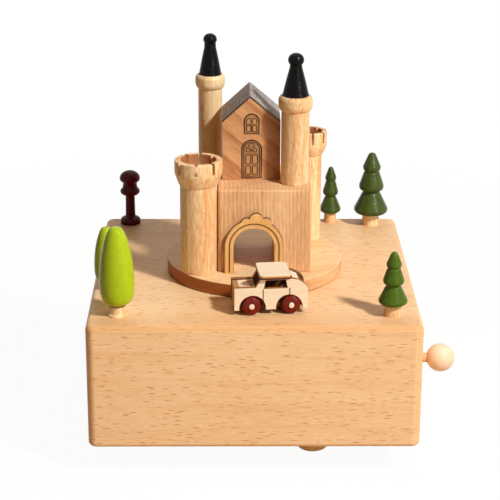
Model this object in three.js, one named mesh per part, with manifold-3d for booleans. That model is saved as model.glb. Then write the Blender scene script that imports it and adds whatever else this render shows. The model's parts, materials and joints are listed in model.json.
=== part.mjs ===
// Wooden music box: a turning castle and a magnet-drawn car over a spring movement.
// Millimetres, +Z up. The origin is the middle of the overall footprint, on the table.

import * as THREE from "three";
import { mergeVertices } from "three/addons/utils/BufferGeometryUtils.js";
import Module from "manifold-3d";

const wasm = await Module();
wasm.setup();

// Fits
const fitGap = 0.2;            // between a piece and the neighbour that it is cut for
const turnGap = 0.3;           // round what turns
const overrun = 1;             // how far a cutting shape runs past the face it opens
const small = 12;              // sides of a round piece, by its size
const coarse = 16;
const medium = 26;
const fine = 48;

// Box, milled out from below
const boxCorner = 3;
const boxEdge = 1.8;
const boxWall = 9;
const boxTop = 6;
const pocketCorner = 6;
const rebateWidth = 6;
const plateThickness = 3;
const screwInset = 7.5;
const screwHead = 2.2;
const screwHeadDepth = 1.4;
const screwShank = 1.2;
const screwLength = 9;
const footRadius = 6;
const footSoft = 0.8;
const footSide = 13.5;         // from the side of the box to the axis of a foot
const footFront = 28;          // from the front
const footBack = 13.5;         // from the back

// Spindle and turntable
const spindleX = 0.6;
const spindleY = 1;
const spindleRadius = 1.5;
const spindleBelow = 2.3;      // spindle below its gear
const spindleGrip = 2.6;       // how far the spindle reaches into the disc
const bushRadius = 4.5;
const bushFlange = 7;
const bushBelow = 1;
const discRadius = 32;
const discThickness = 4.6;
const discLift = 0.4;
const discEdge = 0.5;

// Winding knob, key shaft and gears
const keyRadius = 1.5;
const keyAbove = 2.2;          // key shaft above its gear
const knobRadius = 6;
const knobHeight = 8.6;
const knobSoft = 2.1;
const knobSoftShare = 0.3;     // where the rounded edge crosses its own corner
const knobTableGap = 0.6;
const knobPlateGap = 1.8;
const knobGrip = 5.5;
const driveTeeth = 24;
const spindleTeeth = 59;
const gearGap = 2.9;           // above the spring barrel
const gearThickness = 3;
const hubRadius = 6;
const hubHeight = 3.6;

// Movement, in the front right of the pocket
const bedSideGap = 1.8;
const bedFrontGap = 1.5;
const bedMargin = 3.5;
const bedThickness = 2.5;
const bedCorner = 3;
const barrelRadius = 12;
const barrelWall = 1;
const barrelFloor = 1.2;
const barrelHeight = 16.4;
const springThickness = 0.5;
const springPitch = 1.5;
const springGap = 0.5;         // inside the barrel wall
const springTop = 2.2;         // below the rim of the barrel
const springCore = 1.9;        // round the key shaft
const springSteps = 11;        // straight runs in each turn
const cylinderRadius = 5.6;
const cylinderLength = 19;
const cylinderGap = 2.6;       // between the barrel and the cylinder's wheel
const cylinderClear = 2.1;     // under that wheel
const cylinderLeft = 9;
const cylinderAxle = 1;
const cylinderStub = 3.2;
const cylinderWheel = 6.9;
const cylinderWheelWidth = 1.6;
const pinHeight = 0.5;
const pinWidth = 0.5;
const pinRows = 18;
const lugWidth = 2;
const combThickness = 1;
const combRoot = 5;
const combTooth = 7;
const combSlit = 0.36;
const combTeeth = 18;
const governorGap = 6.8;       // from the barrel to the governor's axis
const governorMargin = 6.7;    // from there to the edge of the bedplate
const governorRadius = 1;
const governorTop = 27;
const governorFoot = 4;
const governorWidth = 6;
const governorBar = 1.2;
const bladeSpan = 2.6;
const bladeHeight = 5.5;
const bladeThickness = 0.8;
const wormRadius = 1.7;
const wormHeight = 7;

// Stop knob in the right side
const stopBelow = 1.4;         // under the top of the governor's blade
const stopBall = 5;
const stopRest = 0.4;          // between the box and the ball when it is pushed in
const stopRod = 1.65;
const stopGrip = 2.4;          // how far the rod reaches into the ball
const stopCollar = 2.9;
const stopCollarWidth = 1.4;
const stopTravel = 3;

// Magnet arm
const carAngle = 6.2;          // degrees from the front towards the right
const armWidth = 8;
const armThickness = 2.5;
const armHub = 6;
const armCorner = 3.2;
const armGap = 2.4;            // above the hub of the spindle gear
const armEndGap = 2.8;         // from its tip to the wall of the pocket
const magnetRadius = 4;
const magnetThickness = 2;
const magnetGap = 0.9;         // under the top of the box

// Gate block with its tunnel, places from the spindle
const gateX = 3.4;
const gateY = -2.45;
const gateWidth = 33.2;
const gateDepth = 31.9;
const gateHeight = 30.6;
const gateCorner = 1;
const gateEdge = 0.6;
const archX = -0.4;
const archHalf = 7.2;
const archSpring = 9.8;
const frameBand = 3.3;
const frameThickness = 1.8;
const grooveBand = 1.5;        // from the opening to the burnt line
const grooveWidth = 0.35;
const grooveDepth = 0.4;
const grooveFoot = 0.6;        // the line starts this far above the threshold
const crestRise = 2.2;
const crestDrop = 1.1;         // of the two outer bumps below the middle one
const crestRadius = 2.5;
const crestSpacing = 3.5;
const crestX = 0.8;
const crestSideShare = 0.74;   // of the middle bump

// House on the gate block
const houseInset = 1.4;        // from the left side of the block
const houseSetback = 12.5;     // from its front
const houseWidth = 20.8;
const houseDepth = 19.2;
const houseEaves = 21.2;
const houseRise = 8.9;         // from the eaves to the apex
const houseEdge = 0.35;
const roofThickness = 0.95;
const roofGap = 0.12;
const roofOverhang = 0.25;

const gateLeft = gateX - gateWidth / 2;
const gateRight = gateX + gateWidth / 2;
const gateFront = gateY - gateDepth / 2;
const gateBack = gateY + gateDepth / 2;
const houseX = gateLeft + houseInset + houseWidth / 2;
const houseFront = gateFront + houseSetback;
const houseApex = houseEaves + houseRise;

// Towers: the hollow ones and the rear left one stand on the disc, the last one on the block
const hollow = {
  front_left: {
    radius: 6.5, over: 1.9, crown: 8.6, flare: 4.1, rise: 8.8, wall: 2.3,
    slotWidth: 1.15, slotDepth: 4.1, slotTurn: -5,
  },
  rear_right: {
    radius: 4.2, over: 3, crown: 6, flare: 3, rise: 8.7, wall: 1.8,
    slotWidth: 0.9, slotDepth: 4.1, slotTurn: 6,
  },
};
const collared = {
  rear_left: { radius: 4.2, over: 7.6, collar: 5.3, rise: 5 },
  front_right: { radius: 4.9, over: 5.7, collar: 5.9, rise: 5.8 },
};
const towerGap = 0.4;          // between a tower on the disc and the gate block
const towerHouseGap = 0.2;     // between a tower and the house
const frontLeftSetback = 2.7;  // of a tower's axis from the front of the block
const rearLeftOut = 3.8;       // behind the block
const rearRightOut = 0.9;      // right of the block
const frontRightSetback = 9.5;
const towerPlace = {
  front_left: [gateLeft - towerGap - hollow.front_left.radius, gateFront + frontLeftSetback],
  rear_right: [gateRight + rearRightOut, gateBack + towerGap + hollow.rear_right.radius],
  rear_left: [gateLeft + houseInset - towerHouseGap - collared.rear_left.radius, gateBack + rearLeftOut],
  front_right: [
    houseX + houseWidth / 2 + towerHouseGap + collared.front_right.radius,
    gateFront + frontRightSetback,
  ],
};
const slotTurns = [0, 45, 90, 135];   // each slot goes right across a crown
const cap = {
  rear_left: { base: 3.9, neck: 2, neckTop: 9.2, ball: 2.45, height: 14.5 },
  front_right: { base: 4.6, neck: 2.3, neckTop: 9.6, ball: 2.8, height: 15 },
};

// Trees and lamp: axis from the right or left side and from the front or back of the box
const pegDepth = 4;
const fir = {
  fir_front_right: { right: 10, front: 11.4, trunk: 3.05, clear: 3.8, radius: 5.05, top: 23.1 },
  fir_back_right: { right: 10.2, back: 7.1, trunk: 3.4, clear: 4.1, radius: 6.66, top: 29.4 },
  fir_back_middle: { right: 26.1, back: 4.5, trunk: 2.5, clear: 3.8, radius: 4.18, top: 22.8 },
};
const leafTree = {
  leaf_tree_front: { left: 10.5, front: 11.6, trunk: 3.3, clear: 3.6, radius: 6.06, top: 31.9 },
  leaf_tree_rear: { left: 5.3, front: 36.5, trunk: 2.4, clear: 2.5, radius: 4.44, top: 23.3 },
};
const lamp = { left: 9.7, back: 6.1, trunk: 1.95, radius: 3.95, height: 21.7 };

// Car, lying along its own X with the bonnet at +X
const carGap = 0.2;
const carClearance = 2.65;     // between the turntable and an axle end
const carLength = 25.4;
const carWidth = 11.3;
const carSill = 2;
const carBonnet = 10.1;
const carTop = 12.9;
const carSideThickness = 1.8;
const wheelRadius = 3.45;
const wheelWidth = 3.4;
const wheelInset = 0.9;
const wheelFront = 5.9;        // front axle from the front end
const wheelRear = 5.8;         // rear axle from the rear end
const wheelLift = 0.12;
const archGap = 0.6;
const archDrop = 0.37;         // of the arch below the wheel's own centre
const axleRadius = 0.95;
const axleProud = 1.4;
const pillarFoot = 7.4;
const pillarHead = 9.1;
const pillarWidth = 1.7;
const tailRear = 5.1;          // end of the roof line from the rear end
const tailOutsideShares = [[0.905, 0.907], [0.984, 0.72]];   // of the length and of the top
const tailInsideShares = [[0.905, 0.89], [0.968, 0.61], [0.992, 0.59]];
const windowEnd = 6.8;         // from the rear end
const windowSill = 7.9;
const carRoofFront = 8.9;
const carRoofRear = 6;
const carRoofOverhang = 1.15;
const carRoofThickness = 1.25;
const carRoofCorner = 1.6;
const carRoofEdge = 0.3;
const seatHeight = 6.6;
const legRoom = 3.6;            // between the front pillar and the seat
const bonnetFall = 0.4;

// The box is as wide as the arm's sweep and as high as what stands in it
const orbitRadius = discRadius + carClearance + axleProud + carWidth / 2;
const pocketHalf = orbitRadius + armWidth / 2 + armEndGap;
const half = pocketHalf + boxWall;
const boxSide = 2 * half;
const bedTop = plateThickness + bedThickness;
const gearBottom = bedTop + barrelHeight + gearGap;
const armBottom = gearBottom + gearThickness + hubHeight + armGap;
const ceiling = armBottom + armThickness + magnetThickness + magnetGap;
const boxHeight = ceiling + boxTop;
const footHeight = knobTableGap + knobHeight + knobPlateGap;
const rebateHalf = pocketHalf + rebateWidth;
const screwPlace = half - screwInset;

// The movement is set out from the key shaft
const governorX = barrelRadius + governorGap;
const bedLeft = barrelRadius + bedMargin;
const bedRight = governorX + governorMargin;
const keyX = pocketHalf - bedSideGap - bedRight;
const keyY = bedFrontGap + barrelRadius - pocketHalf;
const cylinderBack = barrelRadius + cylinderGap + cylinderWheel;
const cylinderHeight = bedTop + cylinderClear + cylinderWheel;
const combFront = cylinderBack + cylinderRadius + pinHeight + turnGap;
const bedBack = combFront + combTooth + combRoot;
const stopZ = governorTop - governorBar - stopBelow;
const stopReach = stopBall + stopTravel + stopRest;

const finish = {
  beech: { color: 0xd9a671, roughness: 0.6, metalness: 0 },
  paleBeech: { color: 0xf3cf9a, roughness: 0.6, metalness: 0 },
  turned: { color: 0xf0c993, roughness: 0.6, metalness: 0 },
  gate: { color: 0xd8a074, roughness: 0.65, metalness: 0 },
  house: { color: 0xc98f60, roughness: 0.65, metalness: 0 },
  arch: { color: 0xd19b58, roughness: 0.6, metalness: 0 },
  roof: { color: 0x857d79, roughness: 0.7, metalness: 0 },
  capBlack: { color: 0x151314, roughness: 0.3, metalness: 0 },
  firGreen: { color: 0x3f5a25, roughness: 0.35, metalness: 0 },
  firDark: { color: 0x36492b, roughness: 0.35, metalness: 0 },
  leafGreen: { color: 0x8bc32b, roughness: 0.3, metalness: 0 },
  darkRed: { color: 0x47120c, roughness: 0.3, metalness: 0 },
  wheelRed: { color: 0x7a2219, roughness: 0.3, metalness: 0 },
  carWood: { color: 0xf2ddb3, roughness: 0.6, metalness: 0 },
  bead: { color: 0xf7e2bd, roughness: 0.5, metalness: 0 },
  rubber: { color: 0x1d1c1b, roughness: 0.85, metalness: 0 },
  plywood: { color: 0xd8b88a, roughness: 0.7, metalness: 0 },
  zinc: { color: 0xa9abad, roughness: 0.45, metalness: 1 },
  steel: { color: 0xc3c5c7, roughness: 0.3, metalness: 1 },
  brass: { color: 0xc9a24c, roughness: 0.3, metalness: 1 },
  nylon: { color: 0xe9e4d6, roughness: 0.5, metalness: 0 },
  magnet: { color: 0x8d8f93, roughness: 0.25, metalness: 1 },
};

// Solid helpers

function weld(geometry) {
  const bare = geometry.clone();
  bare.deleteAttribute("normal");
  bare.deleteAttribute("uv");
  const merged = mergeVertices(bare);
  const index = merged.index.array;
  const kept = [];
  for (let i = 0; i < index.length; i += 3) {
    const [a, b, c] = [index[i], index[i + 1], index[i + 2]];
    if (a !== b && b !== c && c !== a) kept.push(a, b, c);
  }
  merged.setIndex(kept);
  return merged;
}

function toSolid(geometry) {
  const merged = weld(geometry);
  return new wasm.Manifold(new wasm.Mesh({
    numProp: 3,
    vertProperties: new Float32Array(merged.attributes.position.array),
    triVerts: new Uint32Array(merged.index.array),
  }));
}

function toGeometry(solid) {
  const mesh = solid.getMesh();
  const geometry = new THREE.BufferGeometry();
  geometry.setAttribute("position", new THREE.BufferAttribute(mesh.vertProperties, mesh.numProp));
  geometry.setIndex(new THREE.BufferAttribute(mesh.triVerts, 1));
  return geometry;
}

function cut(geometry, tools) {
  let solid = toSolid(geometry);
  for (const tool of tools) solid = solid.subtract(toSolid(tool));
  return toGeometry(solid);
}

function join(geometries) {
  let solid = toSolid(geometries[0]);
  for (const other of geometries.slice(1)) solid = solid.add(toSolid(other));
  return toGeometry(solid);
}

function shapeOf(points) {
  return new THREE.Shape(points.map(([x, y]) => new THREE.Vector2(x, y)));
}

function roundedRect(width, depth, radius) {
  const [w, d] = [width / 2, depth / 2];
  const shape = new THREE.Shape();
  shape.absarc(w - radius, d - radius, radius, 0, Math.PI / 2);
  shape.absarc(radius - w, d - radius, radius, Math.PI / 2, Math.PI);
  shape.absarc(radius - w, radius - d, radius, Math.PI, 1.5 * Math.PI);
  shape.absarc(w - radius, radius - d, radius, 1.5 * Math.PI, 2 * Math.PI);
  return shape;
}

// An outline raised along Z, with its long edges eased inwards by the bevel
function slab(shape, height, bevel = 0, corner = 2) {
  return new THREE.ExtrudeGeometry(shape, {
    depth: height - 2 * bevel,
    bevelEnabled: bevel > 0,
    bevelThickness: bevel,
    bevelSize: bevel,
    bevelOffset: -bevel,
    bevelSegments: 2,
    curveSegments: corner,
    steps: 1,
  }).translate(0, 0, bevel);
}

// An outline in X and Z, carried along Y from yFront
function wallSlab(shape, yFront, depth, bevel = 0, corner = 2) {
  return slab(shape, depth, bevel, corner).rotateX(Math.PI / 2).translate(0, yFront + depth, 0);
}

function block(x0, x1, y0, y1, z0, z1) {
  return new THREE.BoxGeometry(x1 - x0, y1 - y0, z1 - z0)
    .translate((x0 + x1) / 2, (y0 + y1) / 2, (z0 + z1) / 2);
}

// A profile of [radius, height] pairs turned about Z, closing on the axis
function turned(profile, sides = coarse) {
  const points = profile.map(([radius, height]) => new THREE.Vector2(radius, height));
  return new THREE.LatheGeometry(points, sides).rotateX(Math.PI / 2);
}

function rod(radius, z0, z1, sides = coarse) {
  return turned([[0, z0], [radius, z0], [radius, z1], [0, z1]], sides);
}

function ring(inner, outer, z0, z1, sides = coarse) {
  return turned([[inner, z0], [outer, z0], [outer, z1], [inner, z1], [inner, z0]], sides);
}

const standUp = (geometry) => geometry.rotateX(-Math.PI / 2);   // Z to Y
const layDown = (geometry) => geometry.rotateY(Math.PI / 2);    // Z to X

function piece(parent, name, geometry, look, x = 0, y = 0, z = 0) {
  const mesh = new THREE.Mesh(weld(geometry), new THREE.MeshStandardMaterial(finish[look]));
  mesh.name = name;
  mesh.position.set(x, y, z);
  parent.add(mesh);
  return mesh;
}

const radians = THREE.MathUtils.degToRad;

// Box, plate, screws and feet

function baseBox() {
  const outer = slab(roundedRect(boxSide, boxSide, boxCorner), boxHeight, boxEdge);
  const pocket = slab(roundedRect(2 * pocketHalf, 2 * pocketHalf, pocketCorner), ceiling + overrun)
    .translate(0, 0, -overrun);
  const rebate = slab(roundedRect(2 * rebateHalf, 2 * rebateHalf, boxCorner), plateThickness + overrun)
    .translate(0, 0, -overrun);
  const bush = rod(bushRadius + fitGap, ceiling - overrun, boxHeight + overrun)
    .translate(spindleX, spindleY, 0);
  const stop = layDown(rod(stopRod + turnGap, pocketHalf - overrun, half + overrun))
    .translate(0, keyY, stopZ);
  const pilots = corners(screwPlace).map(([x, y]) =>
    rod(screwShank + fitGap, 0, screwLength + fitGap, small).translate(x, y, 0));
  const pegs = [...Object.values(fir), ...Object.values(leafTree), lamp].map((item) =>
    rod(item.trunk + fitGap, boxHeight - pegDepth, boxHeight + overrun).translate(...placeOn(item), 0));
  return cut(outer, [pocket, rebate, bush, stop, ...pilots, ...pegs]);
}

function corners(place) {
  return [[-place, -place], [place, -place], [-place, place], [place, place]];
}

// Axis of a tree or the lamp, from its distances to two sides of the box
function placeOn({ left, right, front, back }) {
  return [
    left === undefined ? half - right : left - half,
    front === undefined ? half - back : front - half,
  ];
}

function bottomPlate() {
  const side = 2 * (rebateHalf - fitGap);
  const plate = slab(roundedRect(side, side, boxCorner - fitGap), plateThickness);
  const key = rod(keyRadius + turnGap, -overrun, plateThickness + overrun)
    .translate(keyX, keyY, 0);
  const holes = corners(screwPlace).flatMap(([x, y]) => [
    rod(screwShank + fitGap, -overrun, plateThickness + overrun, small).translate(x, y, 0),
    rod(screwHead + fitGap, -overrun, screwHeadDepth + fitGap, small).translate(x, y, 0),
  ]);
  return cut(plate, [key, ...holes]);
}

function bottomScrew() {
  const profile = [
    [0, 0], [screwHead, 0], [screwHead, screwHeadDepth / 2], [screwShank, screwHeadDepth],
    [screwShank, screwLength - screwShank], [0, screwLength],
  ];
  return turned(profile, small);
}

function foot() {
  return turned([
    [0, 0], [footRadius - footSoft, 0], [footRadius, footSoft], [footRadius, footHeight],
    [0, footHeight],
  ]);
}

// Turned trees and lamp

const firShares = [
  [0, 0], [0.62, 0], [0.88, 0.03], [1, 0.083], [0.79, 0.22], [0.51, 0.352], [0.66, 0.385],
  [0.73, 0.445], [0.6, 0.57], [0.4, 0.687], [0.49, 0.71], [0.51, 0.76], [0.42, 0.86],
  [0.24, 0.95], [0.1, 0.99], [0, 1],
];
const leafShares = [
  [0, 0], [0.55, 0], [0.8, 0.05], [0.94, 0.13], [1, 0.27], [0.97, 0.43], [0.86, 0.6],
  [0.68, 0.76], [0.46, 0.88], [0.25, 0.96], [0, 1],
];
const lampShares = [
  [0.98, 0], [0.98, 0.09], [0.9, 0.11], [0.49, 0.13], [0.49, 0.5], [0.52, 0.525], [0.82, 0.54],
  [0.97, 0.6], [0.86, 0.66], [0.68, 0.7], [0.68, 0.76], [0.88, 0.79], [1, 0.86], [0.86, 0.94],
  [0.52, 0.985], [0, 1],
];
// Collar of a tower: [how far out from shaft to collar, how far up from shaft to top]
const collarShares = [[0.4, 0.1], [1, 0.33], [1, 0.59], [0.6, 0.87], [0, 1]];
const capWaistShare = 0.49;
const ballShares = [-0.55, -0.2, 0.15, 0.5, 0.85];   // of a quarter turn from the equator
const crownEaseShare = 0.12;
const crownFloorShare = 0.25;

function crown(shares, { clear, radius, top }) {
  return turned(shares.map(([r, h]) => [r * radius, clear + h * (top - clear)]));
}

function trunk({ trunk: radius, clear }) {
  return rod(radius, -pegDepth, clear);
}

function lampPost() {
  const { radius, height, trunk: peg } = lamp;
  const above = lampShares.map(([r, h]) => [r * radius, h * height]);
  return turned([[0, -pegDepth], [peg, -pegDepth], [peg, 0], ...above]);
}

// Castle

function hollowTower({ radius, over, crown: wide, flare, rise, wall, slotWidth, slotDepth, slotTurn }) {
  const shaft = gateHeight + over;
  const rim = shaft + rise;
  const ease = wall * crownEaseShare;
  const floor = rim - slotDepth - wall * crownFloorShare;
  const body = turned([
    [0, 0], [radius, 0], [radius, shaft], [wide, shaft + flare], [wide, rim - ease], [wide - ease, rim],
    [wide - wall + ease, rim], [wide - wall, rim - ease], [wide - wall, floor], [0, floor],
  ], medium);
  const reach = wide + overrun;
  const slots = slotTurns.map((turn) =>
    block(-slotWidth / 2, slotWidth / 2, -reach, reach, rim - slotDepth, rim + overrun)
      .rotateZ(radians(turn + slotTurn)));
  return cut(body, slots);
}

function collarTower({ radius, collar, rise }, shaft) {
  const edge = collarShares.map(([out, up]) => [radius + out * (collar - radius), shaft + up * rise]);
  return turned([[0, 0], [radius, 0], [radius, shaft], ...edge, [0, shaft + rise]], medium);
}

function pointedCap({ base, neck, neckTop, ball, height }) {
  const centre = height - ball;
  const arc = ballShares.map((share) => {
    const turn = share * Math.PI / 2;
    return [ball * Math.cos(turn), centre + ball * Math.sin(turn)];
  });
  const waist = [(base + neck) * capWaistShare, neckTop / 2];
  return turned([[0, 0], [base, 0], waist, [neck, neckTop], ...arc, [0, height]]);
}

function archOutline(halfWidth, top) {
  const shape = new THREE.Shape();
  shape.moveTo(-halfWidth, 0);
  shape.lineTo(halfWidth, 0);
  shape.lineTo(halfWidth, top);
  shape.absarc(0, top, halfWidth, 0, Math.PI);
  return shape;
}

function gateBlock() {
  const body = slab(roundedRect(gateWidth, gateDepth, gateCorner), gateHeight, gateEdge);
  const reach = gateDepth / 2 + overrun;
  const tunnel = wallSlab(archOutline(archHalf, archSpring), -reach, 2 * reach, 0, small / 2)
    .translate(archX - gateX, 0, 0);
  const slot = block(-archHalf, archHalf, -reach, reach, -overrun, archSpring)
    .translate(archX - gateX, 0, 0);
  return cut(body, [tunnel, slot]);
}

function archFrame() {
  const outerHalf = archHalf + frameBand;
  const arch = wallSlab(archOutline(outerHalf, archSpring), 0, frameThickness, 0, small / 2);
  const crest = [-1, 0, 1].map((step) => {
    const radius = step === 0 ? crestRadius : crestRadius * crestSideShare;
    const bump = standUp(rod(radius, 0, frameThickness, small));
    const lift = archSpring + outerHalf + crestRise - crestRadius - Math.abs(step) * crestDrop;
    return bump.translate(crestX + step * crestSpacing, 0, lift);
  });
  const opening = wallSlab(archOutline(archHalf, archSpring), -overrun,
    frameThickness + 2 * overrun, 0, small / 2);
  const threshold = block(-archHalf, archHalf, -overrun, frameThickness + overrun, -overrun, archSpring);
  const line = archHalf + grooveBand;
  const outerLine = wallSlab(archOutline(line + grooveWidth, archSpring), -overrun,
    overrun + grooveDepth, 0, small / 2);
  const innerLine = wallSlab(archOutline(line, archSpring), -2 * overrun,
    3 * overrun + grooveDepth, 0, small / 2);
  const footing = block(-outerHalf, outerHalf, -3 * overrun, 3 * overrun, -overrun, grooveFoot);
  const groove = cut(outerLine, [innerLine, footing]);
  return cut(join([arch, ...crest]), [opening, threshold, groove]);
}

function houseOutline(low, apex) {
  const w = houseWidth / 2;
  return shapeOf([[-w, 0], [w, 0], [w, low], [0, apex], [-w, low]]);
}

function roofShell() {
  const w = houseWidth / 2;
  const [low, apex] = [houseEaves + roofGap, houseApex + roofGap];
  const shell = shapeOf([
    [-w, low], [0, apex], [w, low], [w, low + roofThickness], [0, apex + roofThickness],
    [-w, low + roofThickness],
  ]);
  return wallSlab(shell, houseFront - roofOverhang, houseDepth + roofOverhang);
}

// Gears and movement

const gearCentres = Math.hypot(keyX - spindleX, keyY - spindleY);
const gearModule = 2 * gearCentres / (driveTeeth + spindleTeeth);
const gearLine = Math.atan2(keyY - spindleY, keyX - spindleX);

// Tooth flanks as shares: [how far along the pitch, height from the pitch circle in modules]
const toothShares = [[-0.31, -1.2], [-0.11, 0.8], [0.11, 0.8], [0.31, -1.2]];

function gear(teeth, toothAt, bore, thickness) {
  const pitch = 2 * Math.PI / teeth;
  const points = [];
  for (let tooth = 0; tooth < teeth; tooth += 1) {
    for (const [along, rise] of toothShares) {
      const turn = toothAt + (tooth + along) * pitch;
      const radius = teeth * gearModule / 2 + rise * gearModule;
      points.push([radius * Math.cos(turn), radius * Math.sin(turn)]);
    }
  }
  const shape = shapeOf(points);
  shape.holes.push(new THREE.Path().absarc(0, 0, bore, 0, 2 * Math.PI, true));
  return slab(shape, thickness, 0, coarse / 2);
}

function driveGear() {
  return gear(driveTeeth, gearLine + Math.PI, keyRadius + fitGap, gearThickness);
}

function spindleGear() {
  const bore = spindleRadius + fitGap;
  const wheel = gear(spindleTeeth, gearLine + Math.PI / spindleTeeth, bore, gearThickness);
  const hub = ring(bore, hubRadius, gearThickness / 2, gearThickness + hubHeight);
  return join([wheel, hub]);
}

function bedplate() {
  const width = bedLeft + bedRight;
  const depth = barrelRadius + bedBack;
  const base = slab(roundedRect(width, depth, bedCorner), bedThickness)
    .translate((bedRight - bedLeft) / 2, (bedBack - barrelRadius) / 2, 0);
  const rise = cylinderHeight - plateThickness;
  const bearing = cylinderAxle + turnGap;
  const lugTop = rise + 2 * bearing;
  const left = -cylinderLeft - turnGap - lugWidth - cylinderWheelWidth;
  const right = cylinderLength - cylinderLeft + turnGap;
  const lugs = [left, right].map((x) =>
    block(x, x + lugWidth, cylinderBack - 2 * bearing, cylinderBack + 2 * bearing, 0, lugTop));
  const ledge = block(0, cylinderLength, combFront + combTooth, bedBack, 0, rise)
    .translate(-cylinderLeft, 0, 0);
  const holes = [
    rod(keyRadius + turnGap, -overrun, bedThickness + overrun),
    layDown(rod(bearing, left - overrun, right + lugWidth + overrun, small))
      .translate(0, cylinderBack, rise),
  ];
  return cut(join([base, ...lugs, ledge]), holes);
}

function springBarrel() {
  const bore = keyRadius + turnGap;
  return turned([
    [bore, 0], [barrelRadius, 0], [barrelRadius, barrelHeight],
    [barrelRadius - barrelWall, barrelHeight], [barrelRadius - barrelWall, barrelFloor],
    [bore, barrelFloor], [bore, 0],
  ], medium);
}

// The mainspring is one ribbon wound outwards at a steady pitch
function mainspring() {
  const inner = keyRadius + springCore;
  const outer = barrelRadius - barrelWall - springGap - springThickness;
  const springTurns = (outer - inner) / springPitch;
  const steps = Math.round(springTurns * springSteps);
  const side = (offset) => Array.from({ length: steps + 1 }, (_, step) => {
    const turn = 2 * Math.PI * springTurns * step / steps;
    const radius = inner + springPitch * turn / (2 * Math.PI) + offset;
    return [radius * Math.cos(turn), radius * Math.sin(turn)];
  });
  const ribbon = shapeOf([...side(springThickness), ...side(0).reverse()]);
  return slab(ribbon, barrelHeight - barrelFloor - springTop);
}

function pinCylinder() {
  const body = turned([
    [0, -cylinderStub - cylinderWheelWidth], [cylinderAxle, -cylinderStub - cylinderWheelWidth],
    [cylinderAxle, -cylinderWheelWidth], [cylinderWheel, -cylinderWheelWidth], [cylinderWheel, 0],
    [cylinderRadius, 0], [cylinderRadius, cylinderLength], [cylinderAxle, cylinderLength],
    [cylinderAxle, cylinderLength + cylinderStub], [0, cylinderLength + cylinderStub],
  ]);
  const spacing = cylinderLength / (pinRows + 1);
  const golden = Math.PI * (3 - Math.sqrt(5));
  const pins = Array.from({ length: pinRows }, (_, i) =>
    block(0, cylinderRadius + pinHeight, -pinWidth / 2, pinWidth / 2, 0, pinWidth)
      .translate(0, 0, spacing * (1 + i) - pinWidth / 2).rotateZ(golden * i));
  return layDown(join([body, ...pins]));
}

function comb() {
  const width = cylinderLength - 2 * cylinderAxle;
  const pitch = width / combTeeth;
  const edge = [];
  for (let tooth = 0; tooth < combTeeth; tooth += 1) {
    const x = tooth * pitch - width / 2;
    edge.push([x + combSlit / 2, combTooth], [x + combSlit / 2, 0]);
    edge.push([x + pitch - combSlit / 2, 0], [x + pitch - combSlit / 2, combTooth]);
  }
  return slab(shapeOf([[-width / 2, combTooth + combRoot], ...edge, [width / 2, combTooth + combRoot]]),
    combThickness);
}

function governorFrame() {
  const w = governorWidth / 2;
  const high = governorTop + governorBar;
  const low = bedTop;
  const post = governorRadius + turnGap + governorBar;
  const body = join([
    block(-w, w, -governorFoot, governorFoot, low, low + governorBar),
    block(-w, w, governorFoot - governorBar, governorFoot, low, high),
    block(-post, post, -post, governorFoot, high - governorBar, high),
  ]);
  const bearing = rod(governorRadius + turnGap, low + governorBar / 2, high + overrun, small);
  return cut(body, [bearing]);
}

function governorWorm() {
  const low = bedTop + governorBar / 2 + turnGap;
  const worm = low + governorBar;
  const shaft = turned([
    [0, low], [governorRadius, low], [governorRadius, worm], [wormRadius, worm],
    [wormRadius, worm + wormHeight], [governorRadius, worm + wormHeight],
    [governorRadius, governorTop + governorBar], [0, governorTop + governorBar],
  ], small);
  const top = governorTop - governorBar;
  const blade = block(-bladeSpan, bladeSpan, -bladeThickness / 2, bladeThickness / 2,
    top - bladeHeight, top);
  return join([shaft, blade]);
}

// Car

const archRadius = wheelRadius + archGap;
const archCentre = wheelRadius + wheelLift - archDrop;

function carPoints(points) {
  return points.map(([along, up]) => [carLength / 2 - along, up]);
}

function tailPoints(shares) {
  return shares.map(([along, up]) => [along * carLength, up * carTop]);
}

function wheelPlaces() {
  return [carLength / 2 - wheelFront, wheelRear - carLength / 2];
}

function carSide() {
  const [windowRear, tailHead] = [carLength - windowEnd, carLength - tailRear];
  const outline = shapeOf(carPoints([
    [0, carSill], [0, carBonnet], [pillarFoot, carBonnet], [pillarHead, carTop],
    [pillarHead + pillarWidth, carTop], [pillarHead + pillarWidth / 2, windowSill],
    [windowRear, windowSill], [windowRear - pillarWidth / 2, carTop], [tailHead, carTop],
    ...tailPoints(tailOutsideShares), [carLength, windowSill], [carLength, carSill],
  ]));
  const plate = wallSlab(outline, 0, carSideThickness);
  const opening = standUp(rod(archRadius, -overrun, carSideThickness + overrun));
  const arches = wheelPlaces().map((x) => opening.clone().translate(x, 0, archCentre));
  return cut(plate, arches);
}

function carBody() {
  const width = carWidth - 2 * (carSideThickness + carGap);
  const floor = carSill + carSideThickness;
  const [windowRear, tailHead] = [carLength - windowEnd, carLength - tailRear];
  const seatFront = pillarFoot + pillarWidth + legRoom;
  const inner = shapeOf(carPoints([
    [carGap, carSill + carGap], [carGap, carBonnet - bonnetFall], [pillarFoot, carBonnet - carGap],
    [pillarFoot + pillarWidth, floor], [seatFront, floor], [seatFront, seatHeight],
    [windowRear, seatHeight], [windowRear, carBonnet], [tailHead, carTop - carGap],
    ...tailPoints(tailInsideShares), [carLength - carGap, carSill + carGap],
  ]));
  const body = wallSlab(inner, -width / 2, width);
  const wellDepth = width / 2;
  const wellFrom = carWidth / 2 - wheelInset - wheelWidth / 2 - turnGap;
  const wells = wheelPlaces().flatMap((x) => [
    standUp(rod(archRadius, wellFrom, wellFrom + wellDepth)).translate(x, 0, archCentre),
    standUp(rod(archRadius, -wellFrom - wellDepth, -wellFrom)).translate(x, 0, archCentre),
    standUp(rod(axleRadius + turnGap, -width, width, small)).translate(x, 0, wheelRadius + wheelLift),
  ]);
  return cut(body, wells);
}

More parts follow.
